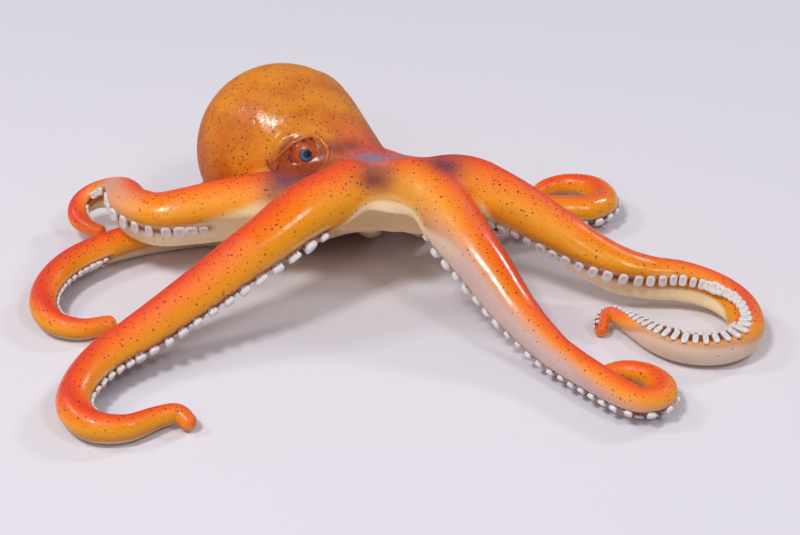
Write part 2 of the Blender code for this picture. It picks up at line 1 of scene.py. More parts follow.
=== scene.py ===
# An octopus figure on a pale table: airbrushed skin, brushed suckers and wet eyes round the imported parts.
import math

import bmesh
import bpy
import numpy as np
from mathutils import Matrix, Vector


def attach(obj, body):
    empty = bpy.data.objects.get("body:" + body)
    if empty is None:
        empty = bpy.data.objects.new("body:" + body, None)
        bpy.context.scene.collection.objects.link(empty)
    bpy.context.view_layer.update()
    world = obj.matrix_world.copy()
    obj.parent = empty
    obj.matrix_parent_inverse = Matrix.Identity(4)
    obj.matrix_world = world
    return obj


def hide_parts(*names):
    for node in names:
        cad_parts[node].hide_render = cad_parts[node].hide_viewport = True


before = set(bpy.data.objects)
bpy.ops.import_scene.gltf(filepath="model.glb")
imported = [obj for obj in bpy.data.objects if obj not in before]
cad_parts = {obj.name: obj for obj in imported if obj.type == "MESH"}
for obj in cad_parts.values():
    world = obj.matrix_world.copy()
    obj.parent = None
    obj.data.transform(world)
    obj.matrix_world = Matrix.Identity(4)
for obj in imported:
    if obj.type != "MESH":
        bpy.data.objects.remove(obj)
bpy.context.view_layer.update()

mm = 0.001
up = np.array((0.0, 0.0, 1.0))


def unit(rows):
    return rows / np.maximum(np.linalg.norm(rows, axis=-1, keepdims=True), 1e-12)


def ease(low, high, value):
    # 0 at low, 1 at high, smooth in between; low may be the larger
    t = np.clip((np.asarray(value, float) - low) / (high - low), 0.0, 1.0)
    return t * t * (3.0 - 2.0 * t)


def bell(value, width):
    return np.exp(-(value / width) ** 2)


def follow(law, share):
    # a law is a row of pairs: the share of the length, and the value there
    return np.interp(share, *zip(*law))


def softened(row, rounds):
    # takes the corners out of a row of numbers or points
    for _ in range(rounds):
        row[1:-1] = 0.25 * row[:-2] + 0.5 * row[1:-1] + 0.25 * row[2:]
    return row


def placed(name, data):
    obj = bpy.data.objects.new(name, data)
    bpy.context.scene.collection.objects.link(obj)
    return obj


def fromCage(name, cage):
    mesh = bpy.data.meshes.new(name)
    cage.to_mesh(mesh)
    cage.free()
    return placed(name, mesh)


def keepValue(obj, key, row):
    # a number for each vertex, that the paint reads by its name
    layer = obj.data.attributes.get(key) or obj.data.attributes.new(key, "FLOAT", "POINT")
    layer.data.foreach_set("value", np.asarray(row, np.float32))


def newMesh(name, points, faces, values=None):
    mesh = bpy.data.meshes.new(name)
    mesh.from_pydata([tuple(point) for point in points], [], faces)
    mesh.update()
    obj = placed(name, mesh)
    for key, row in (values or {}).items():
        keepValue(obj, key, row)
    return obj


def vertexPoints(obj):
    points = np.zeros(len(obj.data.vertices) * 3)
    obj.data.vertices.foreach_get("co", points)
    return points.reshape(-1, 3)


def vertexNumbers(items, count):
    # the vertices of each edge or face
    found = np.zeros(len(items) * count, int)
    items.foreach_get("vertices", found)
    return found.reshape(-1, count)


def placePoints(obj, points):
    obj.data.vertices.foreach_set("co", np.asarray(points, np.float32).ravel())
    obj.data.update()


def smoothSkin(obj, angle=40):
    obj.data.shade_smooth()
    obj.data.set_sharp_from_angle(angle=math.radians(angle))


crownSpot = dict(middle=(-2.0, 6.7), domeSize=(19.0, 15.5, 13.0), domeHeight=23.0)

mantleForm = dict(
    radius=25.6, baseRadius=12.5, back=46.0, heading=132.3,
    neckRadius=8.5, neckReach=38.0, neckHeight=27.5,
    sides=72, ballRings=44, neckRings=16, poles=(-1.52, 1.5),
)

# route: x, y from the crown's middle, height of the underside over the table (mm), and the turn of the
# sucker side out from straight down (degrees). radii: share of the length, radius (mm). seam: where the
# arm's own skin starts. suckers: from where to where they stand, in mm.
armPlans = {
    "front_left": dict(
        side=1, seam=31, suckers=(15, 150),
        radii=((0, 10), (0.14, 8.8), (0.28, 7.8), (0.41, 7), (0.52, 6.3), (0.62, 5.4), (0.72, 4.6),
               (0.85, 3.7), (0.93, 2.9), (1, 2.2)),
        route=((-6, -4, 18, 30), (-20, -14.5, 18, 32), (-34, -27, 14, 34), (-48, -37, 8, 36),
               (-61, -46, 2.8, 38), (-71, -55, 0.3, 42), (-77, -67, 0, 50), (-77.5, -76, 0, 58),
               (-72, -83, 0, 64), (-64, -83.5, 0, 68), (-56, -78, 0.4, 70), (-51.5, -76.4, 0.8, 70),
               (-48.6, -79, 0, 70)),
    ),
    "front_right": dict(
        side=-1, seam=27, suckers=(18, 140),
        radii=((0, 9.3), (0.15, 8.3), (0.3, 7), (0.37, 6.3), (0.44, 5.4), (0.52, 4.75), (0.59, 4.45),
               (0.7, 4.2), (0.8, 3.9), (0.9, 3.2), (1, 2.4)),
        route=((4, -2, 19, 16), (12, -6, 18.5, 18), (17.5, -13.5, 15.5, 20), (26, -26, 10.5, 20),
               (34.6, -39.5, 5, 22), (45.2, -54, 1.2, 24), (52.3, -63, 0.2, 28), (59.3, -71, 0, 34),
               (64.3, -74.6, 0, 42), (69.2, -72.6, 0, 50), (70.9, -66.3, 0, 54), (68, -60.2, 0, 56),
               (62, -57.3, 0.4, 56), (56, -59, 0, 56)),
    ),
    "right": dict(
        side=-1, seam=27, suckers=(21, 190),
        radii=((0, 8.8), (0.12, 8.4), (0.25, 7.4), (0.4, 6.5), (0.46, 5.9), (0.55, 5.2), (0.65, 4.8),
               (0.75, 4.6), (0.84, 4.3), (0.91, 3.3), (0.96, 2.3), (1, 1.9)),
        route=((6, 2, 14.5, 22), (20, 2, 18.4, 22), (33, -3, 16.2, 27), (46, -10, 11.4, 44),
               (57, -15.6, 6.8, 63), (65, -18.2, 4.2, 76), (73, -18.5, 2.6, 86), (81.5, -18.5, 2, 94),
               (90.5, -21.5, 1, 104), (96.3, -29, 0.4, 122), (97, -38, 0, 142), (93.5, -45.2, 0, 160),
               (87, -48.4, 0, 170), (79, -47.4, 0, 174), (73, -43, 0, 174), (68, -36.5, 0.4, 168),
               (64, -31.5, 1.2, 156), (60.8, -30, 2, 140), (58.8, -31.8, 1.2, 125), (58.4, -35, 0, 110)),
    ),
    "rear_right": dict(
        side=-1, seam=24, suckers=(26, 112),
        radii=((0, 8), (0.5, 5.2), (0.75, 3.9), (1, 2.3)),
        route=((7, 6, 14, 30), (19, 11, 9.5, 34), (32, 17, 3.5, 38), (44, 21.5, 0.8, 42), (53, 24, 0, 44),
               (60.5, 25.2, 0, 46), (65, 29.8, 0, 48), (65.8, 37, 0, 50), (62.8, 44, 0, 52),
               (56, 47.4, 0, 54), (49.5, 46, 0.3, 56), (45, 40.5, 0, 56)),
    ),
    "rear_outer": dict(
        side=-1, seam=33, suckers=(40, 116),
        radii=((0, 7.4), (1, 2.2)),
        route=((4, 4, 16, 40), (10, 12, 6, 50)),
        roundMantle=dict(headings=(-14, 92), shares=(0.25, 0.78), outside=(0.3, 2.6)),
        end=((-39, 67.5, 0, 56), (-46.5, 66.5, 0, 56), (-50, 69, 0, 56)),
    ),
    "rear_inner": dict(
        side=-1, seam=33, suckers=(40, 112),
        radii=((0, 7.4), (1, 2.2)),
        route=((-3, 4, 16, 40), (-4, 13, 5, 50)),
        roundMantle=dict(headings=(-20, 132), shares=(0.22, 0.7)),
        end=((-55, 45, 0, 56), (-59, 38, 0, 56), (-62, 31, 0, 56)),
    ),
    "low_left": dict(
        side=1, seam=36, suckers=(83, 128),
        radii=((0, 7.4), (0.45, 5.3), (0.6, 4.8), (0.72, 4.3), (0.82, 3.7), (0.92, 3.1), (1, 2.5)),
        route=((-6, 4, 12, 50), (-18, 7.2, 6.8, 54), (-27, 9.4, 2.2, 58), (-35, 11, 0.3, 60),
               (-44, 13, 0, 62), (-51, 15.4, 0, 62), (-60, 13.5, 0, 62), (-70.5, 9.2, 0, 58),
               (-81.5, 1.8, 0, 48), (-89.4, -6.2, 0, 44), (-93.8, -16.6, 0, 48), (-93.8, -26.5, 0, 54),
               (-89.5, -34, 0, 62), (-82, -36.5, 0, 66), (-75, -33.5, 0, 66)),
    ),
    "left": dict(
        side=1, seam=26, suckers=(44, 128),
        radii=((0, 9.2), (0.15, 9.4), (0.25, 9.3), (0.38, 8.7), (0.5, 7.8), (0.6, 6.8), (0.68, 5.9),
               (0.76, 4.9), (0.84, 3.9), (0.92, 3), (1, 2)),
        route=((-6, 1, 12.5, 30), (-18, 0, 12.8, 34), (-30, 0, 12.6, 44), (-44, 0, 11, 58),
               (-55, 0, 9.6, 62), (-65, 0, 9.2, 66), (-72.6, 4.5, 10.4, 74), (-76, 13, 10.5, 80),
               (-79.2, 22, 8.4, 84), (-82.8, 26.6, 7, 84), (-87.4, 28, 5.8, 84), (-91, 25.2, 4.8, 82),
               (-91.4, 20.6, 3.6, 80), (-88.4, 17, 2.8, 78), (-84.4, 15.6, 2.4, 76)),
    ),
}

armForm = dict(
    ringStep=0.55, sides=44, flatAt=0.705, flatBlend=0.09, steepest=1.45, softRounds=6,
    gap=0.3, wrapRoom=1.1, wrapPoints=7, wrapRoll=66.0,
    stripGap=0.5, cupReach=0.30, cupSide=0.536, tableRoom=0.2,
    tipTurns=(22, 44, 63, 80), tipReach=0.9,      # the rings that close the tip
)


def mantleLine():
    # the mantle's middle, and the middle of its neck's round end
    heading = math.radians(mantleForm["heading"])
    toward = heading + math.pi
    back, reach = mantleForm["back"], mantleForm["neckReach"]
    rise = math.sqrt(mantleForm["radius"] ** 2 - mantleForm["baseRadius"] ** 2)
    x, y = crownSpot["middle"]
    x, y = x + back * math.cos(heading), y + back * math.sin(heading)
    end = (x + reach * math.cos(toward), y + reach * math.sin(toward), mantleForm["neckHeight"])
    return np.array((x, y, rise)), np.array(end)


mantleMiddle, neckEnd = mantleLine()


def between(a, b, share):
    return [x + (y - x) * share for x, y in zip(a, b)]


def smoothRoute(points, steps=16):
    # centripetal Catmull-Rom through the points
    first = [2 * a - b for a, b in zip(points[0], points[1])]
    last = [2 * a - b for a, b in zip(points[-1], points[-2])]
    row = [first, *points, last]
    path = []
    for p0, p1, p2, p3 in zip(row, row[1:], row[2:], row[3:]):
        gaps = [math.sqrt(math.dist(a[:2], b[:2])) for a, b in ((p0, p1), (p1, p2), (p2, p3))]
        t0, t1, t2, t3 = np.cumsum([0.0] + gaps)
        for step in range(steps):
            t = t1 + (t2 - t1) * step / steps
            a1 = between(p0, p1, (t - t0) / (t1 - t0))
            a2 = between(p1, p2, (t - t1) / (t2 - t1))
            a3 = between(p2, p3, (t - t2) / (t3 - t2))
            b1 = between(a1, a2, (t - t0) / (t2 - t0))
            b2 = between(a2, a3, (t - t1) / (t3 - t1))
            path.append(between(b1, b2, (t - t1) / (t2 - t1)))
    path.append(list(points[-1]))
    return np.array(path)


def roundMantlePoints(plan):
    # the part of a rear arm that lies against the mantle
    wrap = plan["roundMantle"]
    found = []
    for step in np.linspace(0.0, 1.0, armForm["wrapPoints"]):
        low, high = wrap["headings"]
        heading = math.radians(low + (high - low) * step)
        low, high = wrap["shares"]
        radius = follow(plan["radii"], low + (high - low) * step) + armForm["wrapRoom"]
        apart = mantleForm["radius"] + radius + armForm["gap"]
        reach = math.sqrt(apart ** 2 - (mantleMiddle[2] - radius) ** 2)
        if "outside" in wrap:
            near, far = wrap["outside"]
            reach += 2 * radius + near + (far - near) * step
        x = mantleMiddle[0] + reach * math.cos(heading) - crownSpot["middle"][0]
        y = mantleMiddle[1] + reach * math.sin(heading) - crownSpot["middle"][1]
        found.append((x, y, 0.0, armForm["wrapRoll"]))
    return found


# roll: degrees from straight down to the pale side. warm: added toward the red ridge. pale: where the pale
# side stops with a sharp edge, as a share of the half turn from pale side to ridge. lilac: depth of the
# cold pink in the pale side. gloss: where the varnish shines. plumReach: mm from the crown's middle.
armPaint = dict(
    roll=dict(
        front_left=((0, 12), (0.15, 19), (0.5, 20), (0.72, 26), (0.79, -6), (0.84, -24), (1, -24)),
        front_right=((0, 18), (0.12, 30), (0.25, 42), (0.58, 42), (0.72, 14), (1, 4)),
        right=((0, 16), (0.3, 28), (0.5, 34), (0.58, 26), (0.66, 0), (0.74, -46), (0.86, -52), (0.93, -8),
               (1, 0)),
        rear_right=((0, 24), (0.5, 24), (1, 10)), rear_outer=((0, 20), (1, 20)),
        rear_inner=((0, 20), (1, 20)), low_left=((0, 24), (0.5, 24), (0.78, 18), (0.87, -16), (1, -20)),
        left=((0, 22), (0.4, 30), (0.62, 36), (1, 24)),
    ),
    warm=dict(
        front_left=((0, -0.06), (0.14, -0.02), (0.3, 0.02), (0.72, 0.06), (0.8, 0.04), (1, 0.04)),
        front_right=((0, -0.04), (0.14, -0.08), (0.26, 0.05), (0.6, 0.05), (0.72, -0.06), (1, -0.08)),
        right=((0, 0.02), (0.16, 0.0), (0.22, -0.05), (0.36, -0.06), (0.5, 0.0), (0.7, -0.04),
               (0.88, -0.06), (0.95, 0.1), (1, 0.1)),
        left=((0, -0.02), (0.4, -0.02), (0.55, 0.0), (0.7, 0.0), (1, 0.08)),
        low_left=((0, 0.0), (0.5, 0.0), (0.75, 0.08), (0.9, 0.04), (1, 0.04)),
        rear_right=((0, 0.0), (0.5, -0.06), (1, -0.06)),
    ),
    pale=dict(
        front_right=((0, 0.1), (0.12, 0.30), (0.2, 0.42), (0.28, 0.47), (0.6, 0.45), (0.72, 0.14),
                     (1, 0.1)),
        right=((0, 0.52), (0.12, 0.48), (0.155, 0.42), (0.19, 0.22), (0.45, 0.24), (0.55, 0.36),
               (0.66, 0.42), (0.88, 0.40), (0.94, 0.2), (1, 0.1)),
        left=((0, 0.60), (0.24, 0.53), (0.36, 0.41), (0.43, 0.32), (0.5, 0.24), (1, 0.2)),
    ),
    lilac=dict(
        front_right=((0.08, 0.0), (0.16, 0.4), (0.28, 0.8), (0.70, 0.9), (0.80, 0.2), (1, 0.1)),
        right=((0.62, 0.0), (0.72, 0.6), (0.9, 0.5), (1, 0)),
        left=((0.52, 0.0), (0.58, 0.4), (0.70, 0.6), (0.80, 0.1), (1, 0)),
    ),
    lilacTo=dict(
        left=0.95, front_right=0.70,
    ),
    gloss=dict(
        front_left=((0, 0.1), (0.13, 0.1), (0.17, 1), (0.25, 1), (0.29, 0.1), (0.6, 0.1), (0.66, 0.6),
                    (1, 0.5)),
        front_right=((0, 0.15), (0.22, 0.15), (0.28, 0.9), (0.38, 0.9), (0.44, 0.1), (0.8, 0.1),
                     (0.86, 0.6), (1, 0.4)),
        right=((0, 0.1), (0.27, 0.1), (0.32, 0.8), (0.45, 0.8), (0.50, 0.2), (1, 0.3)),
        left=((0, 0.0), (0.43, 0.0), (0.475, 0.7), (0.51, 0.7), (0.55, 0.1), (1, 0.5)),
        low_left=((0, 0.1), (1, 0.4)), rear_right=((0, 0.2), (0.6, 0.8), (1, 0.5)),
        rear_outer=((0, 0.3), (1, 0.4)), rear_inner=((0, 0.3), (1, 0.4)),
    ),
    plumReach=dict(
        front_left=(-6, 6), front_right=(-6, 4), right=(9, 22), rear_right=(8, 28), rear_outer=(8, 30),
        rear_inner=(20, 50), low_left=(40, 58), left=(20, 32),
    ),
    plumDepth=dict(
        front_left=0.3, front_right=0.3, right=0.75, rear_right=0.75, rear_outer=0.8, rear_inner=0.85,
        low_left=0.85, left=1.0,
    ),
    tipFrom=0.93, dotsFrom=(0.36, 0.7), dotsFlank=0.5, paleEdge=(0.05, -0.05), lilacUsual=0.64,
    lilacFade=0.3, plumFrom=(0.3, 0.6), paleBare=0.75, lilacBare=0.5,
)


def layRoute(name, plan):
    # an arm as evenly spaced rings, in mm: middles, radii and the directions there
    points = list(plan["route"])
    if "roundMantle" in plan:
        points += roundMantlePoints(plan) + list(plan["end"])
    path = smoothRoute(points)
    roll = np.radians(path[:, 3])
    line = path[:, :3].copy()
    line[:, :2] += crownSpot["middle"]
    line[:, 2] = np.maximum(line[:, 2], 0.0)
    marks = np.concatenate(([0.0], np.cumsum(np.linalg.norm(np.diff(line, axis=0), axis=1))))
    length = marks[-1]
    radii = follow(plan["radii"], marks / length)
    face = (armForm["flatAt"] + armForm["cupReach"]) * radii + armForm["stripGap"]
    least = face * np.cos(roll) + armForm["cupSide"] * radii * np.sin(roll) + armForm["tableRoom"]
    line[:, 2] = np.maximum(line[:, 2] + radii, least)
    even = np.linspace(0.0, length, int(length / armForm["ringStep"]) + 1)
    rounds = armForm["softRounds"]
    middles = softened(np.stack([np.interp(even, marks, row) for row in line.T], 1), rounds)
    radii = softened(np.interp(even, marks, radii), rounds)
    roll = softened(np.interp(even, marks, roll), rounds)
    along = unit(np.gradient(middles, axis=0))
    across = unit(np.cross(up, along)) * plan["side"]
    down = np.cross(across, along) * plan["side"]
    down *= np.where(down[:, 2:] > 0, -1.0, 1.0)
    suckerWay = unit(down * np.cos(roll)[:, None] + across * np.sin(roll)[:, None])
    sideWay = np.cross(along, suckerWay)
    # the paint has a pale side of its own; creamTurn is the angle from the sucker side to it
    cream = np.radians(follow(armPaint["roll"][name], even / length))
    paleWay = down * np.cos(cream)[:, None] + across * np.sin(cream)[:, None]
    creamTurn = np.arctan2((paleWay * sideWay).sum(1), (paleWay * suckerWay).sum(1))
    return dict(marks=even, length=length, middles=middles, radii=radii, along=along,
                suckerWay=suckerWay, sideWay=sideWay, creamTurn=np.unwrap(creamTurn))


routes = {name: layRoute(name, plan) for name, plan in armPlans.items()}
print("routes laid:", ", ".join(f"{name} {route['length']:.0f} mm" for name, route in routes.items()))


def armOutline(turn):
    # radius share at an angle from the sucker side: round, with a soft flat under it
    face = armForm["flatAt"] / np.cos(np.minimum(np.abs(turn), armForm["steepest"]))
    blend = armForm["flatBlend"]
    step = np.clip(0.5 + 0.5 * (1.0 - face) / blend, 0.0, 1.0)
    return face * step + 1.0 * (1 - step) - blend * step * (1.0 - step)


def tubeFaces(count, sides, base=0):
    # four-sided faces from ring to ring, and a cap on both ends
    faces = []
    for ring in range(base, base + (count - 1) * sides, sides):
        for side in range(sides):
            here, after = ring + side, ring + (side + 1) % sides
            faces.append((here, after, after + sides, here + sides))
    last = base + (count - 1) * sides
    return [*faces, tuple(reversed(range(base, base + sides))), tuple(range(last, last + sides))]


def ringsToMesh(name, rings, values=None):
    return newMesh(name, rings.reshape(-1, 3) * mm, tubeFaces(*rings.shape[:2]), values)


def circleWays(turns, first, second):
    # directions round each place of a row, at each turn from the first way to the second
    found = np.cos(turns)[None, :, None] * first[:, None, :]
    return found + np.sin(turns)[None, :, None] * second[:, None, :]


def tubeRings(route, first, last, grow=0.0, roundTip=False):
    # rings of one arm from one distance to another, and where they lie
    picked = np.where((route["marks"] >= first) & (route["marks"] <= last))[0]
    turns = np.linspace(0.0, math.tau, armForm["sides"], endpoint=False)
    turns = np.where(turns > math.pi, turns - math.tau, turns)
    ways = circleWays(turns, route["suckerWay"][picked], route["sideWay"][picked])
    size = (route["radii"][picked] + grow)[:, None, None] * armOutline(turns)[None, :, None]
    rings = route["middles"][picked][:, None, :] + ways * size
    marks = route["marks"][picked]
    if roundTip:
        end, way, radius = rings[-1], route["along"][picked[-1]], route["radii"][picked[-1]]
        middle = route["middles"][picked[-1]]
        closing = [middle + (end - middle) * math.cos(a) + way * radius * armForm["tipReach"] * math.sin(a)
                   for a in np.radians(armForm["tipTurns"])]
        rings = np.concatenate((rings, np.array(closing)))
        marks = np.concatenate((marks, [marks[-1]] * len(closing)))
    return rings, marks, turns


# rowTurn and splay: degrees that a row stands and its cups lean off the middle of the sucker side.
# lineWidth, rowEdge, edgeTurn, edgeWidth: degrees, where the brown wash and the pale edge line run.
# growBefore to lastCup: mm. uneven: spread of the cups' splay, lean, width, length, height.
cupForm = dict(
    rowTurn=31.0, splay=14.0, sunk=0.10, sides=14, growIn=5.0, growFrom=0.6, lowerRow=0.6, stagger=0.25,
    squareness=3.6, lineWidth=11, rowEdge=(6, 15), edgeTurn=16, edgeWidth=2.4,
    growBefore=1, offTable=0.02, startFade=3, stopFade=2, maskShort=1.5, lastCup=1.2,
    uneven=(3, 0.05, 0.06, 0.07, 0.06),
)

# start: mm from the crown's middle. the other laws run over the arm's length and are shares of its radius
# there: pitch, halves (along the arm, round it) and reach. lean: degrees that the rows lie farther apart.
# broad: how much wider the outer row is. bare: mm where the lower row is left out. skip: mm with no cups.
rearCups = dict(
    start=40, pitch=((0, 0.66), (1, 0.66)), halves=((0, 0.25, 0.25), (1, 0.25, 0.25)),
    reach=((0, 0.32), (1, 0.32)),
)
cupPlans = dict(
    front_left=dict(
        start=19.5, pitch=((0, 0.58), (0.3, 0.66), (0.6, 0.72), (1, 0.66)),
        halves=((0, 0.22, 0.20), (0.4, 0.22, 0.20), (1, 0.24, 0.22)), reach=((0, 0.24), (1, 0.26)),
        lean=((0, 6), (0.2, 13), (0.6, 14), (0.75, 4), (1, 0)),
    ),
    front_right=dict(
        start=19.5, pitch=((0, 0.60), (0.35, 0.66), (0.55, 0.84), (0.8, 0.80), (1, 0.7)),
        halves=((0, 0.20, 0.20), (0.5, 0.21, 0.20), (0.72, 0.25, 0.25), (1, 0.27, 0.27)),
        reach=((0, 0.34), (1, 0.34)),
    ),
    right=dict(
        start=24.5, pitch=((0, 0.56), (0.36, 0.53), (0.52, 0.55), (0.56, 0.48), (0.68, 0.53), (1, 0.58)),
        halves=((0, 0.22, 0.24), (0.28, 0.19, 0.27), (0.53, 0.18, 0.26), (0.57, 0.29, 0.30),
                (0.68, 0.22, 0.27), (0.74, 0.17, 0.26), (0.85, 0.18, 0.24), (1, 0.24, 0.24)),
        reach=((0, 0.28), (0.26, 0.18), (0.54, 0.12), (0.58, 0.34), (0.72, 0.22), (1, 0.28)),
        lean=((0, -8), (0.2, -17), (0.33, -18), (0.42, -11), (0.5, -2), (1, 0)),
        broad=((0, 1), (0.66, 1), (0.73, 1.9), (0.86, 1.6), (0.93, 1)), bare=(0, 115),
    ),
    rear_right=dict(
        start=27, pitch=((0, 0.66), (1, 0.66)), halves=((0, 0.22, 0.24), (1, 0.26, 0.26)),
        reach=((0, 0.32), (1, 0.34)),
    ),
    rear_outer=rearCups,
    rear_inner=rearCups,
    low_left=dict(
        start=84, pitch=((0, 0.50), (0.62, 0.50), (0.66, 0.70), (1, 0.66)),
        halves=((0, 0.25, 0.23), (1, 0.24, 0.24)), reach=((0, 0.22), (1, 0.26)), lean=((0, 10), (1, 8)),
    ),
    left=dict(
        start=44.5, pitch=((0, 0.40), (0.55, 0.42), (0.60, 0.30), (0.72, 0.40), (1, 0.60)),
        halves=((0, 0.20, 0.20), (0.42, 0.22, 0.20), (0.46, 0.16, 0.26), (0.54, 0.16, 0.27),
                (0.58, 0.24, 0.30), (0.7, 0.26, 0.30), (0.8, 0.26, 0.24), (1, 0.28, 0.28)),
        reach=((0, 0.08), (0.5, 0.12), (0.6, 0.16), (0.7, 0.16), (0.8, 0.28), (1, 0.32)),
        lean=((0, -16), (0.56, -14), (0.66, 0), (1, 0)), bare=(0, 120), skip=((77, 89), (97, 104)),
    ),
)


def onSuckers(name, marks):
    start = cupPlans[name]["start"]
    stop = min(armPlans[name]["suckers"][1], routes[name]["length"] - cupForm["maskShort"])
    begun = ease(start - cupForm["startFade"], start, marks)
    return begun * (1 - ease(stop, stop + cupForm["stopFade"], marks))


def leanAt(name, share):
    # how far the rows lie from their usual place, in degrees toward the middle of the sucker side
    law = cupPlans[name].get("lean")
    return follow(law, share) if law else 0.0


def rowMask(name, marks, turns):
    # 1 where the suckers stand and between the two rows, and on one line only where there is one row
    route = routes[name]
    row = np.radians(cupForm["rowTurn"] + leanAt(name, marks / route["length"]))
    bareFrom, bareTo = cupPlans[name].get("bare", (0, 0))
    upper = np.sign(np.interp(marks, route["marks"], route["sideWay"][:, 2]))
    oneRow = bell(turns * upper - row, math.radians(cupForm["lineWidth"]))
    near, far = np.radians(cupForm["rowEdge"])
    bothRows = 1 - ease(row + near, row + far, np.abs(turns))
    bare = (marks > bareFrom) & (marks < bareTo)
    return np.where(bare, oneRow, bothRows) * onSuckers(name, marks)


def edgeMask(name, marks, turns):
    # 1 on the thin raised line along the foot of the outer suckers
    lean = leanAt(name, marks / routes[name]["length"])
    line = np.radians(cupForm["rowTurn"] + cupForm["edgeTurn"] + lean)
    return bell(np.abs(turns) - line, math.radians(cupForm["edgeWidth"])) * onSuckers(name, marks)


def alongLaw(kind, name, share):
    # a value that follows the length of one arm, 0 where the arm has none
    law = armPaint[kind].get(name)
    return follow(law, share) if law else np.zeros_like(share)


def paintValues(name, marks, turns):
    # what the paint needs to know at each place of an arm's skin
    route = routes[name]
    share = np.clip(marks / route["length"], 0.0, 1.0)
    away = turns - np.interp(marks, route["marks"], route["creamTurn"])
    turn = np.abs((away + math.pi) % math.tau - math.pi) / math.pi
    near, far = armPaint["plumReach"][name]
    flank = armPaint["dotsFlank"]
    reach = armPaint["lilacTo"].get(name, armPaint["lilacUsual"])
    pale = ease(*armPaint["paleEdge"], turn - alongLaw("pale", name, share))
    lilac = alongLaw("lilac", name, share) * ease(reach, reach - armPaint["lilacFade"], turn)
    plum = (1 - ease(near, far, marks)) * armPaint["plumDepth"][name]
    dots = flank + (1 - flank) * ease(*armPaint["dotsFrom"], turn)
    return dict(
        turn=turn,
        warm=alongLaw("warm", name, share),
        pale=pale,
        lilac=lilac,
        tip=ease(armPaint["tipFrom"], 1.0, share),
        gloss=alongLaw("gloss", name, share),
        plum=plum * ease(*armPaint["plumFrom"], turn),
        dots=dots * (1 - armPaint["paleBare"] * pale) * (1 - armPaint["lilacBare"] * lilac),
        rows=rowMask(name, marks, turns),
        edge=edgeMask(name, marks, turns),
    )


def makeArm(name):
    plan, route = armPlans[name], routes[name]
    rings, marks, turns = tubeRings(route, plan["seam"], route["length"], roundTip=True)
    values = paintValues(name, *np.meshgrid(marks, turns, indexing="ij"))
    arm = ringsToMesh(name + "Arm", rings, {key: row.ravel() for key, row in values.items()})
    smoothSkin(arm)
    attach(arm, "root")
    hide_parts(name + "_arm")
    return arm


arms = {name: makeArm(name) for name in armPlans}
print("arms:", len(arms))

# one small cup: radius and height shares from foot to dimple
cupProfile = ((0.96, 0.0), (0.94, 0.25), (1.0, 0.5), (1.05, 0.7), (1.0, 0.87), (0.86, 0.97),
              (0.66, 1.0), (0.42, 0.95), (0.2, 0.90))
dimpleRings = 2      # the last rings, inside the rim
chance = np.random.default_rng(4)


def takenAt(route, key, marks):
    # what a route holds at one distance along it, or at each of a row of distances
    rows = route[key]
    index = np.clip(marks, 0.0, route["length"]) / armForm["ringStep"]
    low = np.minimum(index.astype(int), len(rows) - 2)
    blend = np.minimum(index - low, 1.0)
    if rows.ndim > 1:
        blend = blend[..., None]
    return rows[low] * (1 - blend) + rows[low + 1] * blend


def cupPlaces(name):
    # where each cup stands: distance along the arm, its row and its sizes in shares of the radius
    route, cups = routes[name], cupPlans[name]
    stop = min(armPlans[name]["suckers"][1], route["length"] - cupForm["lastCup"])
    spots, alongs, rounds = zip(*cups["halves"])
    places, distance = [], float(cups["start"])
    while distance < stop:
        share = distance / route["length"]
        step = follow(cups["pitch"], share)
        sizes = np.interp(share, spots, alongs), np.interp(share, spots, rounds), follow(cups["reach"], share)
        radius = takenAt(route, "radii", distance)
        for row in (-1, 1):
            shift = cupForm["stagger"] * row * step * radius
            places.append((min(max(distance + shift, 0.0), route["length"]), row, sizes))
        distance += step * radius
    return places


def cupAxes(name, spot, row, radius):
    # the foot of a cup and the ways across it, out of it and along it, a little uneven
    route = routes[name]
    along, suckerWay, sideWay = [unit(takenAt(route, key, spot)) for key in ("along", "suckerWay", "sideWay")]
    turn = math.radians(cupForm["rowTurn"] + leanAt(name, spot / route["length"])) * row
    foot = takenAt(route, "middles", spot) + radius * armOutline(turn) * (
        suckerWay * math.cos(turn) + sideWay * math.sin(turn))
    splay = math.radians(cupForm["splay"] + chance.normal(0, cupForm["uneven"][0])) * row
    out = unit(suckerWay * math.cos(splay) + sideWay * math.sin(splay) +
               along * chance.normal(0, cupForm["uneven"][1]))
    side = unit(np.cross(out, along))
    return foot, side, out, np.cross(side, out)


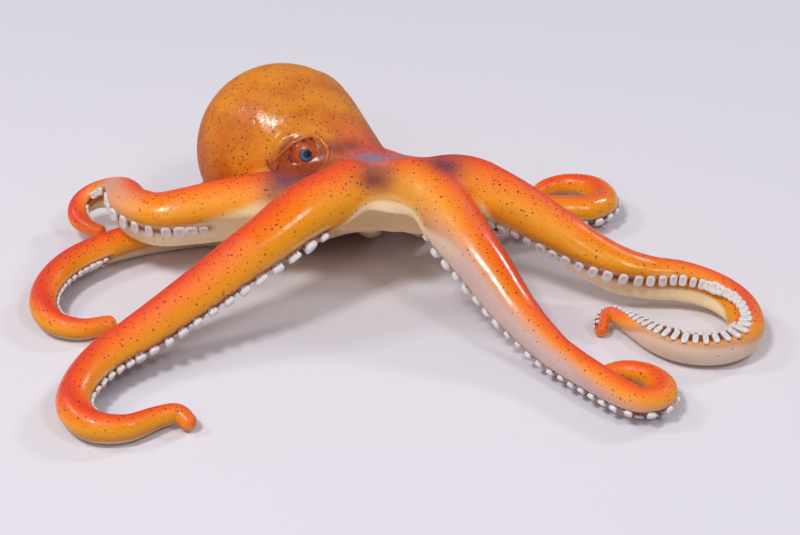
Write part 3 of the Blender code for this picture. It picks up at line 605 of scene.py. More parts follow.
def makeSuckers(name):
    route, cups, sides = routes[name], cupPlans[name], cupForm["sides"]
    angles = np.linspace(0.0, math.tau, sides, endpoint=False)
    power = cupForm["squareness"]
    square = (np.abs(np.cos(angles)) ** power + np.abs(np.sin(angles)) ** power) ** (-1 / power)
    bareFrom, bareTo = cups.get("bare", (0, 0))
    points, faces = [], []
    for spot, row, (halfAlong, halfRound, reach) in cupPlaces(name):
        upper = row * unit(takenAt(route, "sideWay", spot))[2] > 0
        skipped = any(first < spot < last for first, last in cups.get("skip", ()))
        if skipped or (not upper and bareFrom < spot < bareTo):
            continue
        radius = takenAt(route, "radii", spot)
        foot, side, out, ahead = cupAxes(name, spot, row, radius)
        least = cupForm["growFrom"]
        begin, end = cups["start"] - cupForm["growBefore"], cups["start"] + cupForm["growIn"]
        grown = ease(begin, end, spot) * (1 - least) + least
        widths, lengths, heights = cupForm["uneven"][2:]
        wide = radius * halfRound * grown * chance.normal(1.0, widths)
        if row < 0 and "broad" in cups:
            wide *= follow(cups["broad"], spot / route["length"])
        long = radius * halfAlong * grown * chance.normal(1.0, lengths)
        tall = radius * reach * grown * chance.normal(1.0, heights) * (1.0 if upper else cupForm["lowerRow"])
        sunk = radius * cupForm["sunk"]
        faces += tubeFaces(len(cupProfile), sides, len(points))
        for size, high in cupProfile:
            level = -sunk + high * (tall + sunk)
            for angle, corner in zip(angles, square):
                spread = size * corner
                points.append(foot + out * level + side * wide * spread * math.cos(angle) +
                              ahead * long * spread * math.sin(angle))
    points = np.array(points)
    points[:, 2] = np.maximum(points[:, 2], cupForm["offTable"])      # nothing goes under the table
    count = len(points) // (len(cupProfile) * sides)
    rise = np.tile(np.repeat([high for _, high in cupProfile], sides), count)
    inRim = np.arange(len(cupProfile)) >= len(cupProfile) - dimpleRings
    cups = newMesh(name + "Suckers", points * mm, faces,
                   dict(rise=rise, dimple=np.tile(np.repeat(inRim, sides), count)))
    cage = bmesh.new()
    cage.from_mesh(cups.data)
    bmesh.ops.recalc_face_normals(cage, faces=cage.faces)
    cage.to_mesh(cups.data)
    cage.free()
    smoothSkin(cups, angle=60)
    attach(cups, "root")
    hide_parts(name + "_suckers")
    return cups


suckers = {name: makeSuckers(name) for name in armPlans}
print("suckers:", sum(len(cups.data.polygons) for cups in suckers.values()), "faces")

# the skin over mantle, neck and the roots of the arms, in mm. webSpot and hollowSpot: right of the crown's
# middle, before it, and over the table. From fillSeam to dropAfter: from an arm's seam outward.
headForm = dict(
    voxel=0.75, fineVoxel=0.55, stubBeyond=6.0, stubGrow=0.35, nearSeam=8.0, paintBeyond=6.0,
    web=(12.0, 9.0, 8.5), webSpot=(0.0, 8.0, 25.5), hollow=(14.0, 14.0, 12.5), hollowSpot=(-1.5, 9.0, 16.5),
    smoothRounds=46, smoothWeight=0.5, keptRound=0.75, roundTo=(-0.5, 4.0),
    fillRounds=240, fillWeight=0.5, fillHeights=(20.0, 27.0), fillSeam=(-11, -4), fillReach=1.8,
    fillBack=0.06, facingEvery=20,
    ownReach=1.5, dip=0.45, dipFrom=(0.25, 2.4), pullFrom=(-7.0, -0.6), pullShell=(0.2, 1.4),
    dropAfter=3.2, dropShell=1.0,
)

# on an eye's place x runs along the mantle, y up over it and z out of it, in mm
eyeForm = dict(
    radius=7.4, proud=0.9, browSize=(9.4, 7.0, 2.6),
    places=dict(left_eye=(0.52, 147.0, 0.0), right_eye=(0.0, 28.0, 43.0)),
    flips=dict(left_eye=1.0, right_eye=-1.0),
    lidPath=((-11.4, -6.2), (-9.8, -4.8), (-7.1, -1.8), (-4.3, 1.6), (-1.1, 4.3), (1.9, 5.6), (4.5, 4.7),
             (6.7, 2.4), (7.5, 0.0), (7.2, -2.6), (5.6, -4.6)),
    browFrom=2, browTo=9, browMiddle=(0.0, -0.5), browShift=3.0, browLeast=4.0,      # the fold over the lid
    browRise=1.0, browWidth=1.5, browDepth=(-4, 9),
    socket=((-0.2, -1.9, 7.6, 7.2), (-5.6, -4.2, 6.0, 2.6)),      # x, y and half sizes of what the lid frames
)


def overCrown(side, forward, height):
    x, y = crownSpot["middle"]
    return x + side, y - forward, height


def browPath(name):
    # the fold over an eye, a little outside the path of its lid
    middle = np.array(eyeForm["browMiddle"])
    path = []
    for x, y in eyeForm["lidPath"][eyeForm["browFrom"]:eyeForm["browTo"]]:
        grown = 1 + eyeForm["browShift"] / max(math.hypot(x, y), eyeForm["browLeast"])
        path.append(middle + (np.array((eyeForm["flips"][name] * x, y)) - middle) * grown)
    return path


def eyePlace(name):
    # a placing matrix on the mantle in mm, +Z out of it and +Y up
    share, turn, back = eyeForm["places"][name]
    middle, end = Vector(mantleMiddle), Vector(neckEnd)
    turn, back = math.radians(turn), math.radians(back)
    axis = (end - middle).normalized()
    right = Vector((0, 0, 1)).cross(axis).normalized()
    side = right * math.cos(turn) + axis.cross(right) * math.sin(turn)
    big, small = mantleForm["radius"], mantleForm["neckRadius"]
    slope = math.asin((big - small) / (end - middle).length) - back
    out = axis * math.sin(slope) + side * math.cos(slope)
    across = Vector((0, 0, 1)).cross(out).normalized()
    turned = Matrix((across, out.cross(across), out)).transposed().to_4x4()
    return Matrix.Translation(middle.lerp(end, share) + out * (big + (small - big) * share)) @ turned


def ballMesh(name, sizes, place, segments=64, rings=40):
    # sizes are half sizes along the axes of place, in mm
    cage = bmesh.new()
    bmesh.ops.create_uvsphere(cage, u_segments=segments, v_segments=rings, radius=1.0,
                              matrix=place @ Matrix.Diagonal((*sizes, 1.0)))
    bmesh.ops.scale(cage, vec=(mm, mm, mm), verts=cage.verts)
    return fromCage(name, cage)


def teardropRings():
    # the mantle's ball and its neck, as rings round the line from one to the other
    big, small = mantleForm["radius"], mantleForm["neckRadius"]
    reach = np.linalg.norm(neckEnd - mantleMiddle)
    lean = math.asin((big - small) / reach)
    axis = (neckEnd - mantleMiddle) / reach
    right = unit(np.cross(up, axis))
    over = np.cross(axis, right)
    first, last = mantleForm["poles"]
    onBall = np.linspace(first, lean, mantleForm["ballRings"])
    onNeck = np.linspace(lean, last, mantleForm["neckRings"])
    profile = [(big * math.cos(a), big * math.sin(a)) for a in onBall]
    profile += [(small * math.cos(a), reach + small * math.sin(a)) for a in onNeck]
    turns = np.linspace(0.0, math.tau, mantleForm["sides"], endpoint=False)
    circle = np.cos(turns)[:, None] * right + np.sin(turns)[:, None] * over
    return np.array([mantleMiddle + axis * z + circle * r for r, z in profile])


def joined(name, objects):
    cage = bmesh.new()
    for obj in objects:
        cage.from_mesh(obj.data)
        bpy.data.objects.remove(obj)
    return fromCage(name, cage)


def settled(obj):
    # the object with its modifiers worked into the mesh
    bpy.context.view_layer.update()
    graph = bpy.context.evaluated_depsgraph_get()
    mesh = bpy.data.meshes.new_from_object(obj.evaluated_get(graph))
    obj.modifiers.clear()
    obj.data = mesh
    return obj


def remeshed(obj, voxel):
    skin = obj.modifiers.new("skin", "REMESH")
    skin.mode = "VOXEL"
    skin.voxel_size = voxel * mm
    return settled(obj)


def relaxed(points, edges, rounds, weight):
    # moves each point toward the middle of its neighbours, as much as its weight says
    a, b = edges[:, 0], edges[:, 1]
    count = np.bincount(a, minlength=len(points)) + np.bincount(b, minlength=len(points))
    for _ in range(rounds):
        total = np.stack([np.bincount(a, points[b, axis], len(points)) +
                          np.bincount(b, points[a, axis], len(points)) for axis in range(3)], 1)
        points = points + (total / np.maximum(count, 1)[:, None] - points) * weight[:, None]
    return points


def filledCreases(points, faces, edges, rounds, weight):
    # like relaxed, but skin only moves outward, so the valleys between the arms fill up
    for step in range(rounds):
        if step % headForm["facingEvery"] == 0:
            corners = points[faces]
            facing = np.cross(corners[:, 2] - corners[:, 0], corners[:, 3] - corners[:, 1])
            normals = unit(np.stack([sum(np.bincount(faces[:, corner], facing[:, axis], len(points))
                                         for corner in range(4)) for axis in range(3)], 1))
        moved = relaxed(points, edges, 1, weight)
        rise = ((moved - points) * normals).sum(1)
        points = points + (moved - points) * np.where(rise > 0, 1.0, headForm["fillBack"])[:, None]
    return points


def nearArm(points, name, last, portion=20000):
    # distance along the arm, distance from its middle line in radii, and the turn from its sucker side
    route = routes[name]
    middles = route["middles"][route["marks"] <= last]
    best = np.zeros(len(points), int)
    for start in range(0, len(points), portion):
        part = points[start:start + portion]
        gap = np.linalg.norm(part[:, None, :] - middles[None, :, :], axis=2)
        best[start:start + portion] = gap.argmin(1)
    off, along = points - middles[best], route["along"][best]
    forward = (off * along).sum(1)
    flat = off - along * forward[:, None]
    turn = np.arctan2((flat * route["sideWay"][best]).sum(1), (flat * route["suckerWay"][best]).sum(1))
    return route["marks"][best] + forward, np.linalg.norm(off, axis=1) / route["radii"][best], turn


def nearArms(points, beyond):
    # the same for every arm, and the distances in radii as one row for each arm
    found = {name: nearArm(points, name, plan["seam"] + beyond) for name, plan in armPlans.items()}
    return found, np.array([size for _, size, _ in found.values()])


# spots: each patch of paint has its middle and half sizes in mm, and a depth
saddlePaint = dict(
    plumSpots=(((14.5, 4.5, 35.0), (5.5, 4.5, 4.0), 0.75), ((-4.2, 0.8, 35.6), (5.5, 3.4, 4.0), 0.6),
               ((-24.0, 4.6, 32.4), (5.0, 5.0, 4.0), 0.8), ((-9.0, 9.5, 36.0), (3.0, 3.0, 3.0), 0.5)),
    maroonSpots=(((-4.7, -4.0, 34.6), (5.6, 4.2, 4.0), 1.0), ((-16.5, 11.0, 37.0), (4.5, 3.2, 3.5), 0.9),
                 ((-11.5, 13.0, 37.0), (4.0, 2.6, 3.0), 0.7), ((-24.0, 4.0, 32.0), (6.0, 6.0, 5.0), 0.8),
                 ((-18.0, 6.5, 34.2), (5.0, 4.0, 4.0), 0.7), ((14.5, 3.5, 34.8), (6.0, 5.0, 4.0), 0.6)),
    mistSpots=(((-5.8, 7.4, 35.8), (5.0, 3.4, 4.0), 1.0), ((0.5, 9.2, 35.6), (5.5, 2.4, 4.0), 0.65)),
    # where the mantle's varnish is thick enough to shine
    glossSpots=(((-33.0, 20.9, 39.0), (10.0, 8.0, 7.5), 1.4), ((-27.5, 22.0, 41.5), (6.0, 6.0, 5.0), 1.2)),
    dullest=0.2, browWidth=9.0,
    pullSharp=5.0, rowReach=1.25,
    mantleShell=(1.0, 3.4), mantleNeck=(22.0, 38.0), mantleEye=(12.0, 9.0), mantleUnderEye=(-7.0, -4.5),
    socketEdge=(1.08, 0.86), socketUnder=(-7.2, -5.2),
    plumLost=0.85, dots=(0.6, 0.8), dotsRise=(-0.4, 0.4), dotsOnLip=0.8,
    lip=(0.19, 0.24), partingOff=0.02, partingWidth=0.035,
    # painted light on the mantle's top and right, then how deep the painted shade on its underside goes, and
    # where it reaches down and left
    paintedTopLight=(0.16, 0.05), paintedUnderShade=0.95, paintedUnderShadeDown=(-0.05, -0.75), paintedUnderShadeLeft=(0.2, -0.7),
)


def spotted(points, kind):
    found = np.zeros(len(points))
    for middle, sizes, depth in saddlePaint[kind]:
        away = (((points - np.array(middle)) / np.array(sizes)) ** 2).sum(1)
        found = np.maximum(found, depth * np.exp(-away))
    return found


def mantleGap(points):
    # how far each point lies off the ball and neck of the mantle, and how far along its middle line
    axis = unit(neckEnd - mantleMiddle)
    along = (points - mantleMiddle) @ axis
    off = np.linalg.norm(points - mantleMiddle - along[:, None] * axis, axis=1)
    big, small = mantleForm["radius"], mantleForm["neckRadius"]
    lean = math.asin((big - small) / np.linalg.norm(neckEnd - mantleMiddle))
    cone = (off - big / math.cos(lean) + along * math.tan(lean)) * math.cos(lean)
    ball = np.linalg.norm(points - mantleMiddle, axis=1) - big
    return np.where(along > big * math.sin(lean), cone, ball), along


def armsPaint(points):
    # the paint of the arms' roots, blended where they run together
    found, sizes = nearArms(points, headForm["paintBeyond"])
    pulls = np.exp(-(sizes - sizes.min(0)) * saddlePaint["pullSharp"])
    pulls /= pulls.sum(0)
    total = {}
    for pull, (name, (marks, size, turn)) in zip(pulls, found.items()):
        for key, row in paintValues(name, np.maximum(marks, 0.0), turn).items():
            row = row * (size < saddlePaint["rowReach"]) if key in ("rows", "edge") else row * pull
            total[key] = total.get(key, 0.0) + row
    return total


def paintHead(head, points):
    look = saddlePaint
    total = armsPaint(points)
    shell, along = mantleGap(points)
    mantle = (1 - ease(*look["mantleShell"], shell)) * (1 - ease(*look["mantleNeck"], along))
    place = eyePlace("left_eye")
    local = (points - np.array(place.translation)) @ np.array(place.to_3x3())
    fromEye = np.linalg.norm(local, axis=1)
    nearEye = ease(*look["mantleEye"], fromEye) * ease(*look["mantleUnderEye"], local[:, 1])
    mantle = np.maximum(mantle, nearEye)
    total["mantle"] = mantle
    total["socket"] = np.zeros(len(points))
    for x, y, wide, high in eyeForm["socket"]:
        inside = ease(*look["socketEdge"], np.hypot((local[:, 0] - x) / wide, (local[:, 1] - y) / high))
        total["socket"] = np.maximum(total["socket"], inside * ease(*look["socketUnder"], local[:, 1]))
    shine = np.maximum(spotted(points, "glossSpots"), bell(fromEye, look["browWidth"]))
    shine = np.clip(shine, look["dullest"], 1.0)
    total["gloss"] = np.maximum(total["gloss"] * (1 - mantle), mantle * shine)
    total["plum"] = np.maximum(total["plum"] * (1 - look["plumLost"] * mantle), spotted(points, "plumSpots"))
    total["maroon"] = spotted(points, "maroonSpots")
    total["mist"] = spotted(points, "mistSpots")
    way = unit(points - mantleMiddle)
    few, more = look["dots"]
    total["dots"] = total["dots"] * (1 - mantle) + mantle * (few + more * ease(*look["dotsRise"], way[:, 2]))
    arch = np.array(overCrown(*headForm["hollowSpot"]))
    outside = np.linalg.norm((points - arch) / np.array(headForm["hollow"]), axis=1) - 1.0
    total["lip"] = 1 - ease(*look["lip"], outside)
    total["dots"] = total["dots"] * (1 - look["dotsOnLip"] * total["lip"])
    total["parting"] = bell(outside - look["lip"][1] - look["partingOff"], look["partingWidth"])
    # painted light: the mantle's colour runs lighter toward its top and right, and darker low down
    high, right = look["paintedTopLight"]
    total["paintedTopLight"] = high * way[:, 2] + right * way[:, 0]
    # painted shade: the mantle turns darker toward its underside and its left
    under = ease(*look["paintedUnderShadeDown"], way[:, 2]) * ease(*look["paintedUnderShadeLeft"], way[:, 0])
    total["paintedUnderShade"] = mantle * look["paintedUnderShade"] * under
    for key, row in total.items():
        keepValue(head, key, row)


def browSwell(points):
    # the skin swells over each eye
    moved = points.copy()
    low, high = eyeForm["browDepth"]
    for name in eyeForm["places"]:
        place = eyePlace(name)
        inside = np.array(place.inverted())
        local = points @ inside[:3, :3].T + inside[:3, 3]
        path = smoothRoute(browPath(name), steps=6)
        gap = np.min([np.hypot(local[:, 0] - x, local[:, 1] - y) for x, y in path], 0)
        near = (local[:, 2] > low) & (local[:, 2] < high)
        out = np.array(place.to_3x3() @ Vector((0, 0, 1)))
        moved += out * (eyeForm["browRise"] * bell(gap, eyeForm["browWidth"]) * near)[:, None]
    return moved


def roughHead():
    # every solid under the skin, run together, with the hollow cut out
    solids = [ringsToMesh("mantleForm", teardropRings())]
    for name, plan in armPlans.items():
        last = plan["seam"] + headForm["stubBeyond"]
        rings, _, _ = tubeRings(routes[name], 0.0, last, headForm["stubGrow"])
        solids.append(ringsToMesh(name + "Root", rings))
    for name, sizes, spot in (("domeForm", crownSpot["domeSize"], (0.0, 0.0, crownSpot["domeHeight"])),
                              ("webForm", headForm["web"], headForm["webSpot"])):
        solids.append(ballMesh(name, sizes, Matrix.Translation(overCrown(*spot))))
    for name in eyeForm["places"]:
        solids.append(ballMesh("browForm", eyeForm["browSize"], eyePlace(name)))
    head = remeshed(joined("headAndCrown", solids), headForm["voxel"])
    spot = Matrix.Translation(overCrown(*headForm["hollowSpot"]))
    hollow = ballMesh("hollowForm", headForm["hollow"], spot)
    cut = head.modifiers.new("hollow", "BOOLEAN")
    cut.object = hollow
    cut.operation = "DIFFERENCE"
    cut.solver = "EXACT"
    settled(head)
    bpy.data.objects.remove(hollow)
    return remeshed(head, headForm["fineVoxel"])


def smoothedHead(head):
    points = vertexPoints(head) / mm
    edges = vertexNumbers(head.data.edges, 2)
    near, far = headForm["roundTo"]
    radius = mantleForm["radius"]
    onMantle = 1 - ease(radius + near, radius + far, np.linalg.norm(points - mantleMiddle, axis=1))
    weight = headForm["smoothWeight"] * (1 - onMantle * headForm["keptRound"])
    points = relaxed(points, edges, headForm["smoothRounds"], weight)
    faces = vertexNumbers(head.data.polygons, 4)
    topOnly = ease(*headForm["fillHeights"], points[:, 2]) * headForm["fillWeight"]
    near, far = headForm["fillSeam"]
    for name, (marks, size, _) in nearArms(points, headForm["nearSeam"])[0].items():
        seam = armPlans[name]["seam"]
        topOnly *= 1 - ease(seam + near, seam + far, marks) * (size < headForm["fillReach"])
    return browSwell(filledCreases(points, faces, edges, headForm["fillRounds"], topOnly))


def metSeams(points):
    # close to a seam the skin runs exactly where the arm's own skin goes on, and then dips inside it
    drop = np.zeros(len(points), bool)
    found, sizes = nearArms(points, headForm["nearSeam"])
    owner = sizes.argmin(0)
    shell, _ = mantleGap(points)
    for number, (name, (marks, size, turn)) in enumerate(found.items()):
        route, seam = routes[name], armPlans[name]["seam"]
        mine = (owner == number) & (size < headForm["ownReach"])
        radii = np.interp(marks, route["marks"], route["radii"])
        suckerWay, sideWay = unit(takenAt(route, "suckerWay", marks)), unit(takenAt(route, "sideWay", marks))
        way = suckerWay * np.cos(turn)[:, None] + sideWay * np.sin(turn)[:, None]
        near, far = headForm["dipFrom"]
        dip = headForm["dip"] * ease(seam + near, seam + far, marks)
        target = takenAt(route, "middles", marks) + way * (radii * armOutline(turn) - dip)[:, None]
        near, far = headForm["pullFrom"]
        pull = ease(seam + near, seam + far, marks) * mine * ease(*headForm["pullShell"], shell)
        points = points * (1 - pull[:, None]) + target * pull[:, None]
        drop |= mine & (marks > seam + headForm["dropAfter"]) & (shell > headForm["dropShell"])
    return points, drop


def makeHead():
    head = roughHead()
    points, drop = metSeams(smoothedHead(head))
    placePoints(head, points * mm)
    cage = bmesh.new()
    cage.from_mesh(head.data)
    cage.verts.ensure_lookup_table()
    bmesh.ops.delete(cage, geom=[cage.verts[i] for i in np.where(drop)[0]], context="VERTS")
    loose = [vert for vert in cage.verts if not vert.link_faces]
    bmesh.ops.delete(cage, geom=loose, context="VERTS")
    bmesh.ops.holes_fill(cage, edges=[edge for edge in cage.edges if edge.is_boundary], sides=0)
    for vert in cage.verts:
        vert.co.z = max(vert.co.z, 0.0)
    bmesh.ops.recalc_face_normals(cage, faces=cage.faces)
    cage.to_mesh(head.data)
    cage.free()
    paintHead(head, vertexPoints(head) / mm)
    smoothSkin(head, angle=75)
    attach(head, "root")
    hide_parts("mantle", "crown")
    return head


head = makeHead()
print("head and crown:", len(head.data.polygons), "faces")

eyeLook = dict(
    iris=(1.45, -0.27), irisSize=1.7, pupil=(1.80, 0.10), pupilSize=1.05, nowhere=9.0,
    lidRadius=0.62, lidSinks=dict(left_eye=0.10, right_eye=0.48), lidSides=16, lidRounds=3,
    lidEnds=(0.35, 0.3), lidThinnest=0.05, lidTaper=0.7, lidAbove=12.0,
)

lidPaint = dict(mantle=1.0, turn=0.7, lid=1.0, gloss=0.8)


def makeEyeball(name):
    place = eyePlace(name)
    radius = eyeForm["radius"]
    depth = eyeForm["browSize"][2] + eyeForm["proud"] - radius
    ball = ballMesh(name + "Ball", (radius, radius, radius), place @ Matrix.Translation((0, 0, depth)),
                    segments=96, rings=64)
    local = np.array([place.inverted() @ (vert.co / mm) for vert in ball.data.vertices])
    for key in ("iris", "pupil"):
        x, y = eyeLook[key]
        gap = np.linalg.norm(local[:, :2] - np.array((eyeForm["flips"][name] * x, y)), axis=1)
        keepValue(ball, key + "Gap", np.where(local[:, 2] > 0, gap, eyeLook["nowhere"]))
    ball.data.shade_smooth()
    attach(ball, "root")
    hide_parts(name)
    return ball


def lidRings(name):
    # a tapering roll of skin that follows a path on the head
    place, sink = eyePlace(name), eyeLook["lidSinks"][name]
    path = smoothRoute([(eyeForm["flips"][name] * x, y) for x, y in eyeForm["lidPath"]], steps=8)
    way = (place.to_3x3() @ Vector((0, 0, -1))).normalized()
    middles = []
    for x, y in path:
        hit, spot, normal, _ = head.ray_cast(place @ Vector((x, y, eyeLook["lidAbove"])) * mm, way)
        middles.append(np.array(spot / mm - normal * sink) if hit else np.array(place @ Vector((x, y, 0.0))))
    middles = softened(np.array(middles), eyeLook["lidRounds"])
    along = unit(np.gradient(middles, axis=0))
    side = unit(np.cross(along, np.array(place.to_3x3() @ Vector((0, 0, 1)))))
    share = np.linspace(0.0, 1.0, len(middles))
    first, last = eyeLook["lidEnds"]
    taper = np.clip(np.minimum(share / first, (1 - share) / last), eyeLook["lidThinnest"], 1.0)
    size = eyeLook["lidRadius"] * taper ** eyeLook["lidTaper"]
    turns = np.linspace(0.0, math.tau, eyeLook["lidSides"], endpoint=False)
    return middles[:, None, :] + size[:, None, None] * circleWays(turns, side, np.cross(side, along))


def makeLid(name):
    lid = ringsToMesh(name + "Lid", lidRings(name))
    for key, value in lidPaint.items():
        keepValue(lid, key, np.full(len(lid.data.vertices), value))
    smoothSkin(lid, angle=70)
    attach(lid, "root")
    return lid


eyes = [makeEyeball(name) for name in eyeForm["places"]]
lids = [makeLid(name) for name in eyeForm["places"]]
print("eyes:", len(eyes), "and lids:", len(lids))


def display(red, green, blue):
    # a colour as a screen shows it, 0 to 255, as the linear colour that a shader takes
    shares = [value / 255 for value in (red, green, blue)]
    return tuple(v / 12.92 if v <= 0.04045 else ((v + 0.055) / 1.055) ** 2.4 for v in shares) + (1.0,)


def feed(tree, node, inputs):
    # joins or sets each input, by its name or number
    for key, value in inputs.items():
        if isinstance(value, bpy.types.NodeSocket):
            tree.links.new(value, node.inputs[key])
        else:
            node.inputs[key].default_value = value


def addNode(tree, kind, inputs=None, **settings):
    node = tree.nodes.new("ShaderNode" + kind)
    for key, value in settings.items():
        setattr(node, key, value)
    feed(tree, node, inputs or {})
    return node


def useGroup(tree, group, inputs):
    return addNode(tree, "Group", inputs, node_tree=group).outputs


def maths(tree, operation, first, second=0.0, third=0.0, clamp=False):
    values = {0: first, 1: second, 2: third}
    return addNode(tree, "Math", values, operation=operation, use_clamp=clamp).outputs[0]


def plus(tree, first, second, clamp=False):
    return maths(tree, "ADD", first, second, clamp=clamp)


def times(tree, first, second, clamp=False):
    return maths(tree, "MULTIPLY", first, second, clamp=clamp)


def swing(tree, value, size):
    # a noise, 0 to 1, as a change round nothing
    return times(tree, maths(tree, "SUBTRACT", value, 0.5), size)


def vectors(tree, operation, inputs):
    return addNode(tree, "VectorMath", inputs, operation=operation).outputs[0]


def mixed(tree, share, below, above):
    return addNode(tree, "Mix", {0: share, 6: below, 7: above}, data_type="RGBA").outputs[2]


def ranged(tree, value, low, high, start=0.0, end=1.0):
    node = addNode(tree, "MapRange", {"Value": value, "From Min": low, "From Max": high,
                                      "To Min": start, "To Max": end}, interpolation_type="SMOOTHSTEP")
    return node.outputs["Result"]


def colourRamp(tree, value, stops):
    node = addNode(tree, "ValToRGB", {"Fac": value})
    ramp = node.color_ramp
    while len(ramp.elements) > 1:
        ramp.elements.remove(ramp.elements[-1])
    for index, (spot, colour) in enumerate(stops):
        element = ramp.elements[0] if index == 0 else ramp.elements.new(spot)
        element.position = spot
        element.color = colour
    return node.outputs["Color"]


def readValue(tree, name):
    return addNode(tree, "Attribute", attribute_name=name, attribute_type="GEOMETRY").outputs["Fac"]


def objectPlace(tree):
    return addNode(tree, "TexCoord").outputs["Object"]


def noise(tree, where, scale, detail=3.0, output="Fac"):
    return addNode(tree, "TexNoise", {"Vector": where, "Scale": scale, "Detail": detail}).outputs[output]


def newPaint(name):
    material = bpy.data.materials.new(name)
    material.use_nodes = True
    return material, material.node_tree, material.node_tree.nodes["Principled BSDF"]


def newGroup(name, inputs, outputs):
    tree = bpy.data.node_groups.new(name, "ShaderNodeTree")
    for key, value in inputs.items():
        tree.interface.new_socket(key, in_out="INPUT", socket_type="NodeSocketFloat").default_value = value
    for key, kind in outputs.items():
        tree.interface.new_socket(key, in_out="OUTPUT", socket_type="NodeSocket" + kind)
    return tree, tree.nodes.new("NodeGroupInput").outputs, tree.nodes.new("NodeGroupOutput")


speckleForm = dict(wobbleScale=2600.0, wobble=0.00022, sizes=(0.9, 0.35), core=0.62)


def makeSpeckle():
    # flicked dots of paint: one in each cell, and only in some of the cells
    tree, given, gives = newGroup("speckle", dict(Scale=600.0, Size=0.16, Share=0.4, Seed=0.0),
                                  dict(Mask="Float"))
    seed = addNode(tree, "CombineXYZ", {"X": given["Seed"]}).outputs[0]
    shifted = vectors(tree, "ADD", {0: objectPlace(tree), 1: seed})
    wobble = noise(tree, shifted, speckleForm["wobbleScale"], 1.0, "Color")
    bent = vectors(tree, "SUBTRACT", {0: wobble, 1: (0.5, 0.5, 0.5)})
    bent = vectors(tree, "SCALE", {0: bent, "Scale": speckleForm["wobble"]})
    shifted = vectors(tree, "ADD", {0: shifted, 1: bent})
    cells = addNode(tree, "TexVoronoi", {"Vector": shifted, "Scale": given["Scale"]}, voronoi_dimensions="3D")
    chosen = addNode(tree, "SeparateColor", {"Color": cells.outputs["Color"]}).outputs
    size = times(tree, given["Size"], maths(tree, "MULTIPLY_ADD", chosen["Green"], *speckleForm["sizes"]))
    dot = ranged(tree, cells.outputs["Distance"], times(tree, size, speckleForm["core"]), size, 1.0, 0.0)
    kept = maths(tree, "LESS_THAN", chosen["Red"], given["Share"])
    feed(tree, gives, {"Mask": times(tree, dot, kept)})
    return tree


# each range: from, to, and what it becomes there
varnishForm = dict(
    slowScale=110.0, strokeScale=900.0, turned=(0.4, 0.7, 0.5), drawn=(1.0, 0.22, 1.0), strokeHeight=0.16,
    strokeDull=(0.38, 0.66, -0.08, 0.14), bareDull=(0.0, 1.0, 0.40, 0.0), strokeWeight=(0.62, 0.40, 0.1, 1.0),
)


def makeVarnish():
    # a thick brushed clear coat: slow ripples, fine strokes and dull patches that break the highlights up
    tree, given, gives = newGroup("varnish", dict(Roughness=0.3, Strokes=1.0, Gloss=1.0),
                                  dict(Roughness="Float", Height="Float", Weight="Float"))
    where = objectPlace(tree)
    slow = noise(tree, where, varnishForm["slowScale"], 1.0)
    drawn = addNode(tree, "Mapping", {"Vector": where, "Rotation": varnishForm["turned"],
                                      "Scale": varnishForm["drawn"]}).outputs["Vector"]
    fine = noise(tree, drawn, varnishForm["strokeScale"])
    strokes = times(tree, fine, times(tree, given["Strokes"], varnishForm["strokeHeight"]))
    dull = times(tree, ranged(tree, fine, *varnishForm["strokeDull"]), given["Strokes"])
    dull = plus(tree, dull, ranged(tree, given["Gloss"], *varnishForm["bareDull"]))
    feed(tree, gives, {
        "Height": plus(tree, slow, strokes),
        "Roughness": plus(tree, given["Roughness"], dull, clamp=True),
        "Weight": times(tree, ranged(tree, fine, *varnishForm["strokeWeight"]), given["Gloss"]),
    })
    return tree


washForm = dict(patches=(0.3, 0.62), stops=((0.3, display(84, 24, 8)), (0.7, display(138, 56, 14))))


def makeWash():
    # thin dark paint that a brush left in the corners
    tree, given, gives = newGroup("brownWash", dict(Mask=0.0, Scale=420.0, Break=0.45),
                                  dict(Mask="Float", Color="Color"))
    patchy = noise(tree, objectPlace(tree), given["Scale"])
    broken = times(tree, ranged(tree, patchy, *washForm["patches"]), given["Break"])
    share = plus(tree, maths(tree, "SUBTRACT", 1.0, given["Break"]), broken)
    feed(tree, gives, {"Mask": times(tree, given["Mask"], share, clamp=True),
                       "Color": colourRamp(tree, patchy, washForm["stops"])})
    return tree


speckle, varnish, brownWash = makeSpeckle(), makeVarnish(), makeWash()

